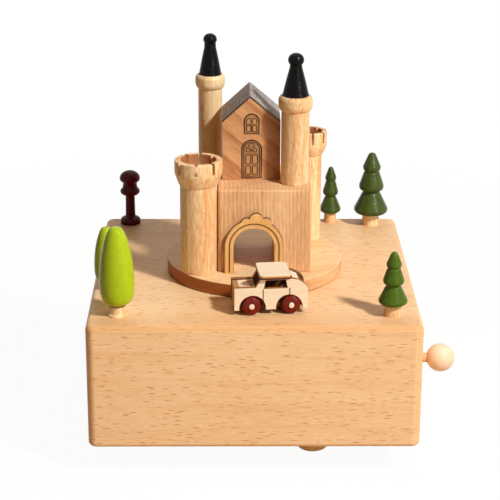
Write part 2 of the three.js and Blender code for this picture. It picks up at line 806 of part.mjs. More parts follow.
// Wheel rim: [share of the radius, share of half the width]
const wheelShares = [[0.62, -1], [0.93, -0.5], [1, 0], [0.93, 0.5], [0.62, 1]];

function wheel() {
  const w = wheelWidth / 2;
  const bore = axleRadius + fitGap;
  const tread = wheelShares.map(([r, along]) => [r * wheelRadius, along * w]);
  return standUp(turned([[bore, -w], ...tread, [bore, w], [bore, -w]]));
}

function axle() {
  const reach = carWidth / 2 + axleProud;
  return standUp(rod(axleRadius, -reach, reach, small));
}

function car(parent) {
  const wheelY = carWidth / 2 - wheelInset;
  piece(parent, "car_body", carBody(), "carWood");
  piece(parent, "car_side_left", carSide(), "carWood", 0, carWidth / 2 - carSideThickness);
  piece(parent, "car_side_right", carSide(), "carWood", 0, -carWidth / 2);
  const roofLength = carLength - carRoofFront - carRoofRear;
  const roofShape = roundedRect(roofLength, carWidth + 2 * carRoofOverhang, carRoofCorner);
  const roof = slab(roofShape, carRoofThickness, carRoofEdge);
  const roofX = (carRoofRear - carRoofFront) / 2;
  piece(parent, "car_roof", roof, "carWood", roofX, 0, carTop + carGap);
  const [frontX, rearX] = wheelPlaces();
  const axleZ = wheelRadius + wheelLift;
  for (const [end, x] of [["front", frontX], ["rear", rearX]]) {
    piece(parent, `axle_${end}`, axle(), "paleBeech", x, 0, axleZ);
    piece(parent, `wheel_${end}_left`, wheel(), "wheelRed", x, wheelY, axleZ);
    piece(parent, `wheel_${end}_right`, wheel(), "wheelRed", x, -wheelY, axleZ);
  }
}

// Stop knob and magnet arm

function stopKnob() {
  const ball = new THREE.SphereGeometry(stopBall, coarse, small);
  const hole = layDown(rod(stopRod + fitGap, -stopBall - overrun, stopGrip + fitGap - stopBall, small));
  return cut(ball, [hole]);
}

function stopRodPiece() {
  const tip = keyX + governorX + bladeSpan + turnGap + stopTravel;
  const collar = pocketHalf - stopCollarWidth - fitGap;
  const end = half + stopReach - stopBall + stopGrip;
  return layDown(turned([
    [0, tip], [stopRod, tip], [stopRod, collar], [stopCollar, collar],
    [stopCollar, collar + stopCollarWidth], [stopRod, collar + stopCollarWidth],
    [stopRod, end], [0, end],
  ], coarse));
}

function magnetArm() {
  const bar = slab(roundedRect(armWidth, orbitRadius + armWidth, armCorner), armThickness)
    .translate(0, -orbitRadius / 2, 0);
  const hub = rod(armHub, 0, armThickness);
  const bore = rod(spindleRadius + fitGap, -overrun, armThickness + overrun);
  return cut(join([bar, hub]), [bore]);
}

function windingKnob() {
  const inner = knobRadius - knobSoft;
  const rounded = knobSoft * knobSoftShare;
  const knob = turned([
    [0, 0], [inner, 0], [knobRadius - rounded, rounded], [knobRadius, knobSoft],
    [knobRadius, knobHeight - knobSoft], [knobRadius - rounded, knobHeight - rounded],
    [inner, knobHeight], [0, knobHeight],
  ]);
  const bore = rod(keyRadius + fitGap, knobHeight - knobGrip - fitGap, knobHeight + overrun);
  return cut(knob, [bore]);
}

// Assembly

const shiftX = -(stopReach + stopBall) / 2;
const model = new THREE.Group();
const box = new THREE.Group();
box.position.set(shiftX, 0, footHeight);
model.add(box);

piece(box, "base_box", baseBox(), "beech");
piece(box, "bottom_plate", bottomPlate(), "plywood");
corners(screwPlace).forEach(([x, y], i) => {
  piece(box, `bottom_screw_${i + 1}`, bottomScrew(), "steel", x, y);
});
const footX = half - footSide;
const footPlaces = [footFront - half, half - footBack].flatMap((y) => [[-footX, y], [footX, y]]);
footPlaces.forEach(([x, y], i) => {
  piece(box, `foot_${i + 1}`, foot(), "rubber", x, y, -footHeight);
});
for (const [name, tree] of Object.entries(fir)) {
  const green = tree.front === undefined ? "firDark" : "firGreen";
  piece(box, `${name}_trunk`, trunk(tree), "turned", ...placeOn(tree), boxHeight);
  piece(box, `${name}_crown`, crown(firShares, tree), green, ...placeOn(tree), boxHeight);
}
for (const [name, tree] of Object.entries(leafTree)) {
  piece(box, `${name}_trunk`, trunk(tree), "turned", ...placeOn(tree), boxHeight);
  piece(box, `${name}_crown`, crown(leafShares, tree), "leafGreen", ...placeOn(tree), boxHeight);
}
piece(box, "lamp_post", lampPost(), "darkRed", ...placeOn(lamp), boxHeight);
piece(box, "stop_knob", stopKnob(), "bead", half + stopReach, keyY, stopZ);
piece(box, "stop_rod", stopRodPiece(), "paleBeech", 0, keyY, stopZ);

const movement = new THREE.Group();
movement.position.set(keyX, keyY, plateThickness);
box.add(movement);
piece(movement, "bedplate", bedplate(), "zinc");
piece(movement, "spring_barrel", springBarrel(), "brass", 0, 0, bedThickness);
piece(movement, "mainspring", mainspring(), "steel", 0, 0, bedThickness + barrelFloor);
const shaftLow = knobTableGap - footHeight + knobHeight - knobGrip;
const shaftHigh = gearBottom + gearThickness + keyAbove;
piece(movement, "key_shaft", rod(keyRadius, shaftLow, shaftHigh), "steel", 0, 0, -plateThickness);
const knobLow = knobTableGap - footHeight - plateThickness;
piece(movement, "winding_knob", windingKnob(), "bead", 0, 0, knobLow);
piece(movement, "drive_gear", driveGear(), "nylon", 0, 0, gearBottom - plateThickness);
const cylinderZ = cylinderHeight - plateThickness;
piece(movement, "pin_cylinder", pinCylinder(), "brass", -cylinderLeft, cylinderBack, cylinderZ);
piece(movement, "comb", comb(), "steel", cylinderLength / 2 - cylinderLeft, combFront, cylinderZ);
piece(movement, "governor_frame", governorFrame(), "zinc", governorX, 0, -plateThickness);
piece(movement, "governor_worm", governorWorm(), "nylon", governorX, 0, -plateThickness);

const spindle = new THREE.Group();
spindle.position.set(spindleX, spindleY, 0);
box.add(spindle);
const spindleTop = boxHeight + discLift + spindleGrip;
piece(spindle, "spindle", rod(spindleRadius, gearBottom - spindleBelow, spindleTop), "steel");
piece(spindle, "spindle_gear", spindleGear(), "nylon", 0, 0, gearBottom);
const bush = turned([
  [spindleRadius + turnGap, ceiling - bushBelow], [bushRadius, ceiling - bushBelow],
  [bushRadius, boxHeight], [bushFlange, boxHeight], [bushFlange, boxHeight + discLift],
  [spindleRadius + turnGap, boxHeight + discLift], [spindleRadius + turnGap, ceiling - bushBelow],
]);
piece(spindle, "spindle_bush", bush, "brass");

const arm = new THREE.Group();
arm.position.z = armBottom;
arm.rotation.z = radians(carAngle);
spindle.add(arm);
piece(arm, "magnet_arm", magnetArm(), "plywood");
const magnet = rod(magnetRadius, 0, magnetThickness);
piece(arm, "arm_magnet", magnet, "magnet", 0, -orbitRadius, armThickness);

const carGroup = new THREE.Group();
const orbit = radians(carAngle);
carGroup.position.set(orbitRadius * Math.sin(orbit), -orbitRadius * Math.cos(orbit), boxHeight);
carGroup.rotation.z = Math.PI + orbit;
spindle.add(carGroup);
car(carGroup);

const castle = new THREE.Group();
castle.position.z = boxHeight + discLift;
spindle.add(castle);
const disc = turned([
  [0, spindleGrip], [spindleRadius + fitGap, spindleGrip], [spindleRadius + fitGap, 0],
  [discRadius - discEdge, 0], [discRadius, discEdge], [discRadius, discThickness - discEdge],
  [discRadius - discEdge, discThickness], [0, discThickness],
], fine);
piece(castle, "turntable_disc", disc, "paleBeech");
piece(castle, "gate_block", gateBlock(), "gate", gateX, gateY, discThickness);
piece(castle, "arch_frame", archFrame(), "arch", archX, gateFront - frameThickness, discThickness);
for (const [place, tower] of Object.entries(hollow)) {
  piece(castle, `tower_${place}`, hollowTower(tower), "turned", ...towerPlace[place], discThickness);
}
const gateTop = discThickness + gateHeight;
const shaftRoot = { rear_left: discThickness, front_right: gateTop };
for (const [place, tower] of Object.entries(collared)) {
  const eaves = gateTop + houseEaves;
  const shaft = eaves + tower.over - shaftRoot[place];
  const [x, y] = towerPlace[place];
  piece(castle, `tower_${place}`, collarTower(tower, shaft), "turned", x, y, shaftRoot[place]);
  piece(castle, `cap_${place}`, pointedCap(cap[place]), "capBlack", x, y, eaves + tower.over + tower.rise);
}
const house = wallSlab(houseOutline(houseEaves, houseApex), houseFront, houseDepth, houseEdge);
piece(castle, "house", house, "house", houseX, 0, gateTop);
piece(castle, "roof", roofShell(), "roof", houseX, 0, gateTop);

export default model;
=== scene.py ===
# %% [markdown]
# # A wooden music box
# A milled beech box hides a wind-up movement. On top a turned disc carries a small
# castle, a toy car is drawn round it by a magnet, and turned trees stand at the corners.
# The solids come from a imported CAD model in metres; this lesson gives them their looks.

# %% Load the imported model
import json
import math

import bmesh
import bpy
from mathutils import Matrix, Vector


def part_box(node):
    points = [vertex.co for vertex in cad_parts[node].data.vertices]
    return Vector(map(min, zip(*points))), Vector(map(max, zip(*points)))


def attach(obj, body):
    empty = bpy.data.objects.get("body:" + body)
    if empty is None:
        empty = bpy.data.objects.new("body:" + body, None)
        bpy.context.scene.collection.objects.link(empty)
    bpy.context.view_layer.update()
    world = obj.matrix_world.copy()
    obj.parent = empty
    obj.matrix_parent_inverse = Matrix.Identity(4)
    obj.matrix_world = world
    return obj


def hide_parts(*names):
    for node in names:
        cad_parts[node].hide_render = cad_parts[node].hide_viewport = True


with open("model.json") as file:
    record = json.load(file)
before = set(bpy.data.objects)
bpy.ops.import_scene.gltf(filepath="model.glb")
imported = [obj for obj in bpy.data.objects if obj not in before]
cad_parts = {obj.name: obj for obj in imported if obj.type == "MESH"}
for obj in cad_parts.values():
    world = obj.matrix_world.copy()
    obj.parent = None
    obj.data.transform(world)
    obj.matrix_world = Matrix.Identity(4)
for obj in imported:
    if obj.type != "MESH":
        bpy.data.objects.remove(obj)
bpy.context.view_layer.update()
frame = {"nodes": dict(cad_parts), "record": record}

MM = 0.001
record = frame["record"]
body_of = {node: body for body, names in record["behaviour"]["bodies"].items() for node in names}
slot_of = {part["node"]: part["material_slot"] for part in record["subparts"]}


def linked(name, data):
    """A new object with this data, linked to the scene."""
    obj = bpy.data.objects.new(name, data)
    bpy.context.scene.collection.objects.link(obj)
    return obj


# %% [markdown]
# ## The camera
# A long lens, a little to the left of the middle and looking down by about twenty
# degrees, gives the gentle perspective of a product photograph. The direction is built
# from a turn, a tilt and a small roll, which is easier to adjust than three Euler angles.

# %% Camera
LENS = 122.76
CAMERA_AT = Vector((-14.98, -589.45, 276.53)) * MM
TURN, TILT, ROLL = (math.radians(a) for a in (0.704, 19.893, 0.216))


def look_matrix(turn, tilt, roll):
    """Columns are the camera's right, its up and the way behind it."""
    ahead = Vector((math.sin(turn) * math.cos(tilt), math.cos(turn) * math.cos(tilt),
                    -math.sin(tilt)))
    right = Vector((math.cos(turn), -math.sin(turn), 0))
    up = right.cross(ahead)
    right, up = (right * math.cos(roll) + up * math.sin(roll),
                 up * math.cos(roll) - right * math.sin(roll))
    return Matrix((right, up, -ahead)).transposed()


camera = linked("camera", bpy.data.cameras.new("camera"))
camera.data.lens = LENS
look = look_matrix(TURN, TILT, ROLL)
camera.matrix_world = Matrix.Translation(CAMERA_AT) @ look.to_4x4()
bpy.context.scene.camera = camera
print("camera looks along", [round(v, 3) for v in -look.col[2]])

# %% [markdown]
# ## Node trees as Python
# A pattern is arithmetic on coordinates. Wiring each Math node by hand hides the
# formula, so a small class wraps a socket and overloads the operators. Any other node
# comes from one method that takes its type, its settings and the values of its sockets.
# Materials, Geometry Nodes and the world's light are all made with it.

# %% Sockets that can be added and multiplied
class Value:
    """An output socket that takes part in Python sums."""

    def __init__(self, tree, socket):
        self.tree, self.socket = tree, socket

    def sum(self, operation, *values):
        return self.tree.node("ShaderNodeMath", {"operation": operation}, dict(enumerate(values)))

    def __add__(self, other): return self.sum("ADD", self, other)
    def __radd__(self, other): return self.sum("ADD", other, self)
    def __sub__(self, other): return self.sum("SUBTRACT", self, other)
    def __rsub__(self, other): return self.sum("SUBTRACT", other, self)
    def __mul__(self, other): return self.sum("MULTIPLY", self, other)
    def __rmul__(self, other): return self.sum("MULTIPLY", other, self)
    def __truediv__(self, other): return self.sum("DIVIDE", self, other)
    def __pow__(self, other): return self.sum("POWER", self, other)
    def __abs__(self): return self.sum("ABSOLUTE", self)
    def root(self): return self.sum("SQRT", self)
    def fraction(self): return self.sum("FRACT", self)
    def at_least(self, low): return self.sum("MAXIMUM", self, low)


class Tree:
    """A node tree of any kind."""
    prefix = "ShaderNode"

    def __init__(self, tree):
        self.tree = tree

    def node(self, kind, settings=None, sockets=None, output=0):
        node = self.tree.nodes.new(kind if "Node" in kind else self.prefix + kind)
        for name, value in (settings or {}).items():
            setattr(node, name, value)
        for name, value in (sockets or {}).items():
            self.feed(node.inputs[name], value)
        return Value(self, node.outputs[output])

    def feed(self, socket, value):
        if isinstance(value, Value):
            self.tree.links.new(value.socket, socket)
        else:
            socket.default_value = value


class Surface(Tree):
    """One material: a Principled shader and the nodes that feed it."""

    def __init__(self, name, **constants):
        self.material = bpy.data.materials.new(name)
        self.material.use_nodes = True
        super().__init__(self.material.node_tree)
        self.shader = self.tree.nodes["Principled BSDF"]
        self.use(**constants)
        self.place = self.node("TexCoord", output="Object")
        self.facing = self.node("TexCoord", output="Normal")

    def use(self, **values):
        for socket, value in values.items():
            self.feed(self.shader.inputs[socket.replace("_", " ")], value)

    def millimetres(self, centre=(0, 0, 0), turn=(0, 0, 0)):
        """Object coordinates in millimetres, centred on a piece and turned to its grain."""
        moved = self.node("VectorMath", {"operation": "SUBTRACT"},
                          {0: self.place, 1: Vector(centre) * MM})
        return self.node("Mapping", {}, {
            "Vector": moved, "Rotation": turn, "Scale": (1000, 1000, 1000)})

    def stretched(self, vector, scale):
        return self.node("VectorMath", {"operation": "MULTIPLY"}, {0: vector, 1: scale})

    def parts(self, vector):
        return [self.node("SeparateXYZ", {}, {0: vector}, axis) for axis in range(3)]

    def facing_along(self, axis):
        return self.node("VectorMath", {"operation": "DOT_PRODUCT"}, {0: self.facing, 1: axis}, 1)

    def noise(self, vector, scale=1.0, detail=2.0, roughness=0.5):
        return self.node("TexNoise", {}, {
            "Vector": vector, "Scale": scale, "Detail": detail, "Roughness": roughness})

    def cells(self, vector):
        """The distance to the nearest of the random points, one in each unit cube."""
        return self.node("TexVoronoi", {}, {"Vector": vector, "Scale": 1.0})

    def smooth(self, value, low, high):
        """0 below low, 1 above high and a soft step between; low may be the larger."""
        return self.node("MapRange", {"interpolation_type": "SMOOTHSTEP"}, {
            "Value": value, "From Min": low, "From Max": high})

    def within(self, value, low, full, fading, high):
        """1 from full to fading, and soft steps down to 0 at low and at high."""
        return self.smooth(value, low, full) * self.smooth(value, high, fading)

    def mix(self, factor, a, b):
        """From colour a to colour b; a plain one is three numbers of a paint chart."""
        a, b = (linear(*c) if isinstance(c, tuple) else c for c in (a, b))
        return self.node("Mix", {"data_type": "RGBA"}, {0: factor, 6: a, 7: b}, 2)

    def relief(self, height, depth_mm):
        self.use(Normal=self.node("Bump", {}, {"Height": height, "Distance": depth_mm * MM}))


def linear(*chart):
    """A colour as a paint chart gives it, 0 to 255, made linear for the shader."""
    return tuple(c / 255 / 12.92 if c / 255 <= 0.04045 else ((c / 255 + 0.055) / 1.055) ** 2.4
                 for c in chart) + (1.0,)


print("a mid beech is", [round(c, 3) for c in linear(222, 172, 118)])

# %% [markdown]
# ## Bare wood
# Beech shows three things: soft bands of growth, fine fibres along the grain, and short
# dark flecks where its rays are cut. All three are worked out in space, so one board
# looks right on its face, its edge and its end. A fleck is a ball round a random point
# in a lattice that is stretched along the grain, cut by the surface. A picture of wood
# would need unwrapping and would break at every edge; a formula only needs to be told
# which way the grain runs.

# %% Wood as a formula
ALONG_X, ALONG_Y, ALONG_Z = (0, 0, 0), (0, 0, math.radians(90)), (0, math.radians(90), 0)
WOOD_SHINE = 0.28


def wood(name, pale, deep, fleck, *, centre=(0, 0, 0), turn=ALONG_X, pith=(60, 160), ring=5.0,
         ring_depth=0.35, waviness=3.0, flecks=0.8, fleck_size=0.2, fleck_cell=(7, 1.05, 1.05),
         fibre=0.6, mottle=0.35, rough=0.5, marks_and_painted_light=None):
    """Sizes are in millimetres: pith is how far off the middle of the trunk lies."""
    s = Surface(name, Roughness=rough, Specular_IOR_Level=WOOD_SHINE)
    grain = s.millimetres(centre, turn)
    _, y, z = s.parts(grain)
    sway = s.noise(s.stretched(grain, (0.012, 0.03, 0.03)), detail=1.0) - 0.5
    out_y, out_z = y + pith[0], z + pith[1] + sway * waviness * 3
    from_pith = (out_y * out_y + out_z * out_z).root()
    year = from_pith / ring + s.noise(s.stretched(grain, (0.02, 0.12, 0.12))) * 0.5 * waviness
    phase = year.fraction()
    band = phase ** 3.0 * s.smooth(phase, 1.0, 0.86)
    fibres = s.noise(s.stretched(grain, (0.22, 1.8, 1.8)), detail=4.0, roughness=0.65)
    cloud = s.noise(s.stretched(grain, (0.02, 0.09, 0.09)))
    bent = s.node("VectorMath", {"operation": "ADD"}, {
        0: grain, 1: s.node("CombineXYZ", {}, {2: sway * 9, 1: sway * 4})})
    lattice = s.stretched(bent, tuple(1 / c for c in fleck_cell))
    long_flecks = s.smooth(s.cells(lattice), fleck_size, fleck_size * 0.7)
    fine_flecks = s.smooth(s.cells(s.stretched(lattice, (1.7, 1.9, 1.9))), 0.22, 0.08)
    tone = band * ring_depth + (fibres - 0.5) * fibre * 2 + (cloud - 0.5) * mottle * 2 + 0.4
    body = s.mix(s.smooth(tone, 0.0, 1.0), pale, deep)
    marks = (long_flecks + fine_flecks * 0.5) * flecks
    painted = s.mix(marks, body, fleck)
    # A piece may add its own marks here, and some pieces add painted shade, shadow or sheen.
    if marks_and_painted_light:
        painted = marks_and_painted_light(s, painted)
    s.use(Base_Color=painted, Roughness=rough + (fibres - 0.5) * 0.25 + marks * 0.12)
    s.relief(fibres * 0.6 - marks * 0.8 - band * 0.3, 0.035)
    return s.material


print("the grain can be turned by", ALONG_X, ALONG_Y, "or", ALONG_Z)

# %% [markdown]
# ## From a solid to a finished piece
# The CAD solids are plain facets. A copy of one is merged, its flat faces are dissolved
# to single faces, and a small bevel rounds every edge, as sanding does. The bevel is
# what catches the light, and weighted normals keep the big faces flat beside it. A piece
# could always be drawn anew, but a copy is quicker where the solid is already right.

# %% Finishing helpers
SHARP = math.radians(32)
MERGED = 2e-6


def flatten(obj):
    """The evaluated object as a plain mesh, with no modifier left on it."""
    view = bpy.context.evaluated_depsgraph_get()
    mesh = bpy.data.meshes.new_from_object(obj.evaluated_get(view))
    obj.modifiers.clear()
    obj.data = mesh
    return obj


def sand(obj, width, segments, angle):
    """Rounds the edges that are sharper than an angle in degrees."""
    bevel = obj.modifiers.new("sanded edges", "BEVEL")
    bevel.width, bevel.segments, bevel.limit_method = width * MM, segments, "ANGLE"
    bevel.angle_limit = math.radians(angle)
    return flatten(obj)


def shade(obj, weighted=True):
    obj.data.shade_smooth()
    obj.data.set_sharp_from_angle(angle=SHARP)
    if weighted:
        obj.modifiers.new("flat faces stay flat", "WEIGHTED_NORMAL").keep_sharp = True
        flatten(obj)
    return obj


def paint(mesh, material):
    mesh.materials.clear()
    mesh.materials.append(material)


def enlist(obj, *stands_for):
    """The piece rides the body of its CAD nodes and stands for them."""
    body, slot = body_of[stands_for[0]], slot_of[stands_for[0]]
    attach(obj, body)
    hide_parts(*stands_for)
    return obj


def meshed(work, mesh):
    """The bmesh written to a mesh, and let go."""
    work.to_mesh(mesh)
    work.free()
    return mesh


def dress(node, material, edge=0.2):
    """A copy of a CAD solid with rounded edges that stands for it."""
    mesh = frame["nodes"][node].data.copy()
    work = bmesh.new()
    work.from_mesh(mesh)
    bmesh.ops.remove_doubles(work, verts=work.verts, dist=MERGED)
    bmesh.ops.dissolve_limit(work, angle_limit=math.radians(1), verts=work.verts,
                             edges=work.edges)
    obj = shade(sand(linked(node + "_look", meshed(work, mesh)), edge, 2, 30))
    paint(obj.data, material)
    return enlist(obj, node)


print("edges sharper than", round(math.degrees(SHARP)), "degrees stay sharp")

# %% [markdown]
# ## Turned pieces
# Trees, towers, caps, feet and wheels come off a lathe: one profile turned about an axis.
# The profile is a short list of corners. Each corner is rounded by a little curve, as a
# chisel and sandpaper leave it, and the ends close on the axis so that no hole is left.
# A Screw modifier turns a profile too, but it leaves a seam to merge and its normals to
# check; a ring of points for each corner does neither.

# %% The lathe
def bend(start, corner, end, t):
    """A point on the curve from start to end that is pulled towards the corner."""
    return start * (1 - t) ** 2 + corner * 2 * t * (1 - t) + end * t * t


def rounded(profile, radii, steps=4):
    """Rounds each inner corner of a profile; radii is one value or one for each corner."""
    points = [Vector(p) for p in profile]
    radii = radii if isinstance(radii, (list, tuple)) else [radii] * len(points)
    result = [points[0]]
    for before, corner, after, radius in zip(points, points[1:], points[2:], radii[1:]):
        back, on = before - corner, after - corner
        reach = min(radius, back.length * 0.48, on.length * 0.48)
        start = corner + back.normalized() * reach
        end = corner + on.normalized() * reach
        if reach < 1e-4 or -back.normalized().dot(on.normalized()) > 0.999:
            result.append(corner)
        else:
            result += [bend(start, corner, end, i / steps) for i in range(steps + 1)]
    return [(p.x, p.y) for p in result + [points[-1]]]


def flowing(points, steps=5):
    """A smooth curve near a list of profile points that ends at the first and the last."""
    points = [Vector(p) for p in points]
    points = [points[0], *points, points[-1]]
    curve = [bend((a + b) / 2, b, (b + c) / 2, i / steps)
             for a, b, c in zip(points, points[1:], points[2:]) for i in range(steps)]
    return [(p.x, p.y) for p in [*curve, points[-1]]]


def lathe(profile, at, sides=72, axis="Z"):
    """A closed mesh from [radius, height] pairs in millimetres, turned at a place."""
    verts, faces, rings = [], [], []
    for radius, height in profile:
        if radius < 1e-6:
            rings.append([len(verts)])
            verts.append((0, 0, height))
        else:
            rings.append(list(range(len(verts), len(verts) + sides)))
            verts += [(radius * math.cos(2 * math.pi * i / sides),
                       radius * math.sin(2 * math.pi * i / sides), height) for i in range(sides)]
    loops = list(zip(rings, rings[1:]))
    if profile[0][0] > 1e-6:
        loops.append((rings[-1], rings[0]))
    for low, high in loops:
        for i in range(sides):
            j = (i + 1) % sides
            if len(low) == 1 and len(high) > 1:
                faces.append((low[0], high[j], high[i]))
            elif len(high) == 1 and len(low) > 1:
                faces.append((low[i], low[j], high[0]))
            elif len(low) > 1:
                faces.append((low[i], low[j], high[j], high[i]))
    mesh = bpy.data.meshes.new("turned")
    mesh.from_pydata(verts, [], faces)
    turn = {"Z": Matrix(), "X": Matrix.Rotation(math.radians(90), 4, "Y"),
            "Y": Matrix.Rotation(math.radians(-90), 4, "X")}[axis]
    mesh.transform(Matrix.Translation(Vector(at) * MM) @ turn @ Matrix.Scale(MM, 4))
    return mesh


def rod(radius, low, high):
    """The profile of a plain round rod."""
    return [(0, low), (radius, low), (radius, high), (0, high)]


def turned_piece(node, profile, at, material, sides=72, axis="Z", name=None):
    obj = linked(name or node + "_look", lathe(profile, at, sides, axis))
    paint(obj.data, material)
    return shade(enlist(obj, node), weighted=False)


print("a rounded corner of a foot:", rounded([(0, 0), (6, 0), (6, 11)], 0.8)[1:4])

# %% [markdown]
# ## Sawn pieces
# Most of what isn't turned starts as a flat outline cut from a board: the box, the gate,
# the house, the sides of the car. An outline is a list of corners, some rounded, and it
# is pushed through the thickness of the board. Holes are cut with other solids.
# A cube could be scaled and bent into shape instead, but an outline keeps the numbers of
# a workshop drawing in sight.

# %% Outlines, boards and cuts
def arc(centre, radius, start, end, steps=12):
    angles = [math.radians(start + (end - start) * i / steps) for i in range(steps + 1)]
    return [(centre[0] + radius * math.cos(a), centre[1] + radius * math.sin(a)) for a in angles]


def rectangle(x0, x1, y0, y1, radius=0.0, steps=8):
    if not radius:
        return [(x0, y0), (x1, y0), (x1, y1), (x0, y1)]
    corners = [(x1 - radius, y0 + radius, -90), (x1 - radius, y1 - radius, 0),
               (x0 + radius, y1 - radius, 90), (x0 + radius, y0 + radius, 180)]
    return [p for x, y, start in corners for p in arc((x, y), radius, start, start + 90, steps)]


def square(x, y, half, radius):
    return rectangle(x - half, x + half, y - half, y + half, radius)


def arched(x, half, bottom, spring, steps=32):
    return [(x - half, bottom), (x + half, bottom)] + arc((x, spring), half, 0, 180, steps)


FACING_FRONT = Matrix.Rotation(math.radians(90), 4, "X")
STAND = {"Z": Matrix(), "Y": FACING_FRONT @ Matrix.Scale(-1, 4, (0, 0, 1))}


def board(outline, low, high, axis="Z", place=Matrix()):
    """A closed solid from an outline in the plane across an axis, in millimetres."""
    work = bmesh.new()
    rims = [[work.verts.new((x, y, z)) for x, y in outline] for z in (low, high)]
    for rim in rims:
        work.faces.new(rim)
    for i in range(len(outline)):
        j = (i + 1) % len(outline)
        work.faces.new((rims[0][i], rims[0][j], rims[1][j], rims[1][i]))
    work.transform(Matrix.Scale(MM, 4) @ place @ STAND[axis])
    bmesh.ops.recalc_face_normals(work, faces=work.faces)
    return meshed(work, bpy.data.meshes.new("board"))


def carve(mesh, cutters, operation="DIFFERENCE"):
    """The mesh after each cutter has been taken from it, or added to it."""
    obj, *tools = [linked("work", each) for each in (mesh, *cutters)]
    for tool in tools:
        cut = obj.modifiers.new("cut", "BOOLEAN")
        cut.object, cut.operation, cut.solver = tool, operation, "EXACT"
    result = flatten(obj).data
    for each in [obj, *tools]:
        bpy.data.objects.remove(each)
    return result


def finished(node, mesh, material, edge=0.2, segments=2, name=None):
    """A sawn piece with sanded edges that stands for a CAD node."""
    paint(mesh, material)
    return shade(sand(enlist(linked(name or node + "_look", mesh), node), edge, segments, 35))


def middle(node):
    """The centre of a CAD node across the table, and its lowest and highest point, in mm."""
    low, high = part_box(node)
    return (low.x + high.x) / 2 / MM, (low.y + high.y) / 2 / MM, low.z / MM, high.z / MM


def half_width(node):
    return (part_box(node)[1].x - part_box(node)[0].x) / 2 / MM


(X0, Y0, BOX_LOW), (X1, Y1, BOX_TOP) = (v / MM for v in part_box("base_box"))
print(f"the box is {X1 - X0:.1f} x {Y1 - Y0:.1f} x {BOX_TOP - BOX_LOW:.1f} mm")

# %% [markdown]
# ## The box
# The box is milled from one block of beech, hollow below. Its corners are rounded on a
# router and its edges with a smaller round, so the light rolls over them. Four boards
# and a lid would look alike from afar, but here the grain runs unbroken from the front
# over the top. Each hole is a Boolean with a cutter of the drill's own shape.

# %% Milled beech box
POCKET, POCKET_CORNER, TOP_THICK = 48.5, 6.0, 6.0
REBATE, REBATE_CORNER, REBATE_DEEP = 54.5, 3.0, 3
CORNER, ROUTED = 3.0, 1.8
SPINDLE_HOLE, SPINDLE_DEEP = 4.7, 8
ROD_HOLE, ROD_FROM, ROD_TO = 1.95, 45, 60
PILOT_HOLE, PILOT_DEEP, SCREW_OFF = 1.4, 9.2, 50
LAMP_PEG, PEG_PLAY, PEG_DEEP = 1.95, 0.04, 4
MID_X, MID_Y = (X0 + X1) / 2, (Y0 + Y1) / 2
SPINDLE_X, SPINDLE_Y, _, _ = middle("spindle")
STOP_X, STOP_Y, stop_low, stop_high = middle("stop_knob")
STOP_AT = (STOP_X, STOP_Y, (stop_low + stop_high) / 2)
TRUNKS = [n for n in frame["nodes"] if n.endswith("_trunk")]


def box_mesh():
    block = linked("block", board(rectangle(X0, X1, Y0, Y1, CORNER), BOX_LOW, BOX_TOP))
    routed = sand(block, ROUTED, 5, 50).data
    bpy.data.objects.remove(block)
    cutters = [
        board(square(MID_X, MID_Y, POCKET, POCKET_CORNER), BOX_LOW - 1, BOX_TOP - TOP_THICK),
        board(square(MID_X, MID_Y, REBATE, REBATE_CORNER), BOX_LOW - 1, BOX_LOW + REBATE_DEEP),
        lathe(rod(SPINDLE_HOLE, BOX_TOP - SPINDLE_DEEP, BOX_TOP + 1),
              (SPINDLE_X, SPINDLE_Y, 0), 48),
        lathe(rod(ROD_HOLE, ROD_FROM, ROD_TO), (MID_X, *STOP_AT[1:]), 32, "X"),
    ]
    for node in TRUNKS + ["lamp_post"]:
        peg = LAMP_PEG if node == "lamp_post" else half_width(node)
        hole = rod(peg + PEG_PLAY, BOX_TOP - PEG_DEEP, BOX_TOP + 1)
        cutters.append(lathe(hole, (*middle(node)[:2], 0), 48))
    for x in (MID_X - SCREW_OFF, MID_X + SCREW_OFF):
        for y in (MID_Y - SCREW_OFF, MID_Y + SCREW_OFF):
            cutters.append(lathe(rod(PILOT_HOLE, -1, PILOT_DEEP), (x, y, BOX_LOW), 16))
    return carve(routed, cutters)


def oiled_edges_and_painted_sheen(s, painted):
    """Rounded edges take the oil deeper, and a redder strip along the front of the top is a
    painted sheen.
    """
    along = s.parts(s.facing)
    flat = [s.smooth(abs(each), 0.9, 0.995) for each in along]
    # Painted sheen: the front of the top is made redder where the satin top reflects the light.
    painted_sheen = s.smooth(along[2], 0.9, 0.99) * s.smooth(s.parts(s.millimetres())[1], -38, -54)
    painted = s.mix(painted_sheen * 0.35, painted, (226, 158, 92))
    edge = 1.0 - (flat[0] + flat[1] + flat[2])
    upper_front = s.smooth(along[2], 0.1, 0.4) * s.smooth(along[1], -0.1, -0.3)
    return s.mix(edge * (upper_front * 0.35 + 0.28), painted, (226, 158, 88))


beech = wood("beech", (254, 215, 166), (237, 187, 131), (206, 122, 62), centre=(0, 0, 30),
             flecks=0.8, fleck_size=0.225, fleck_cell=(7.0, 0.88, 0.7), rough=0.45, ring=9,
             ring_depth=0.25, waviness=1.6, marks_and_painted_light=oiled_edges_and_painted_sheen)
box_piece = finished("base_box", box_mesh(), beech, edge=0.12, segments=1, name="box")
print("box:", len(box_piece.data.polygons), "faces")

# %% [markdown]
# ## Slots in the crowns
# Two of the towers have a crown that is bored out and then sawn across from above, so
# each battlement is a wedge between two cuts. Eight Boolean modifiers would do; Geometry
# Nodes sets one cutter on each of eight points at the tower's axis, turns each an eighth
# further and cuts them all at once, with number, width and depth as inputs.

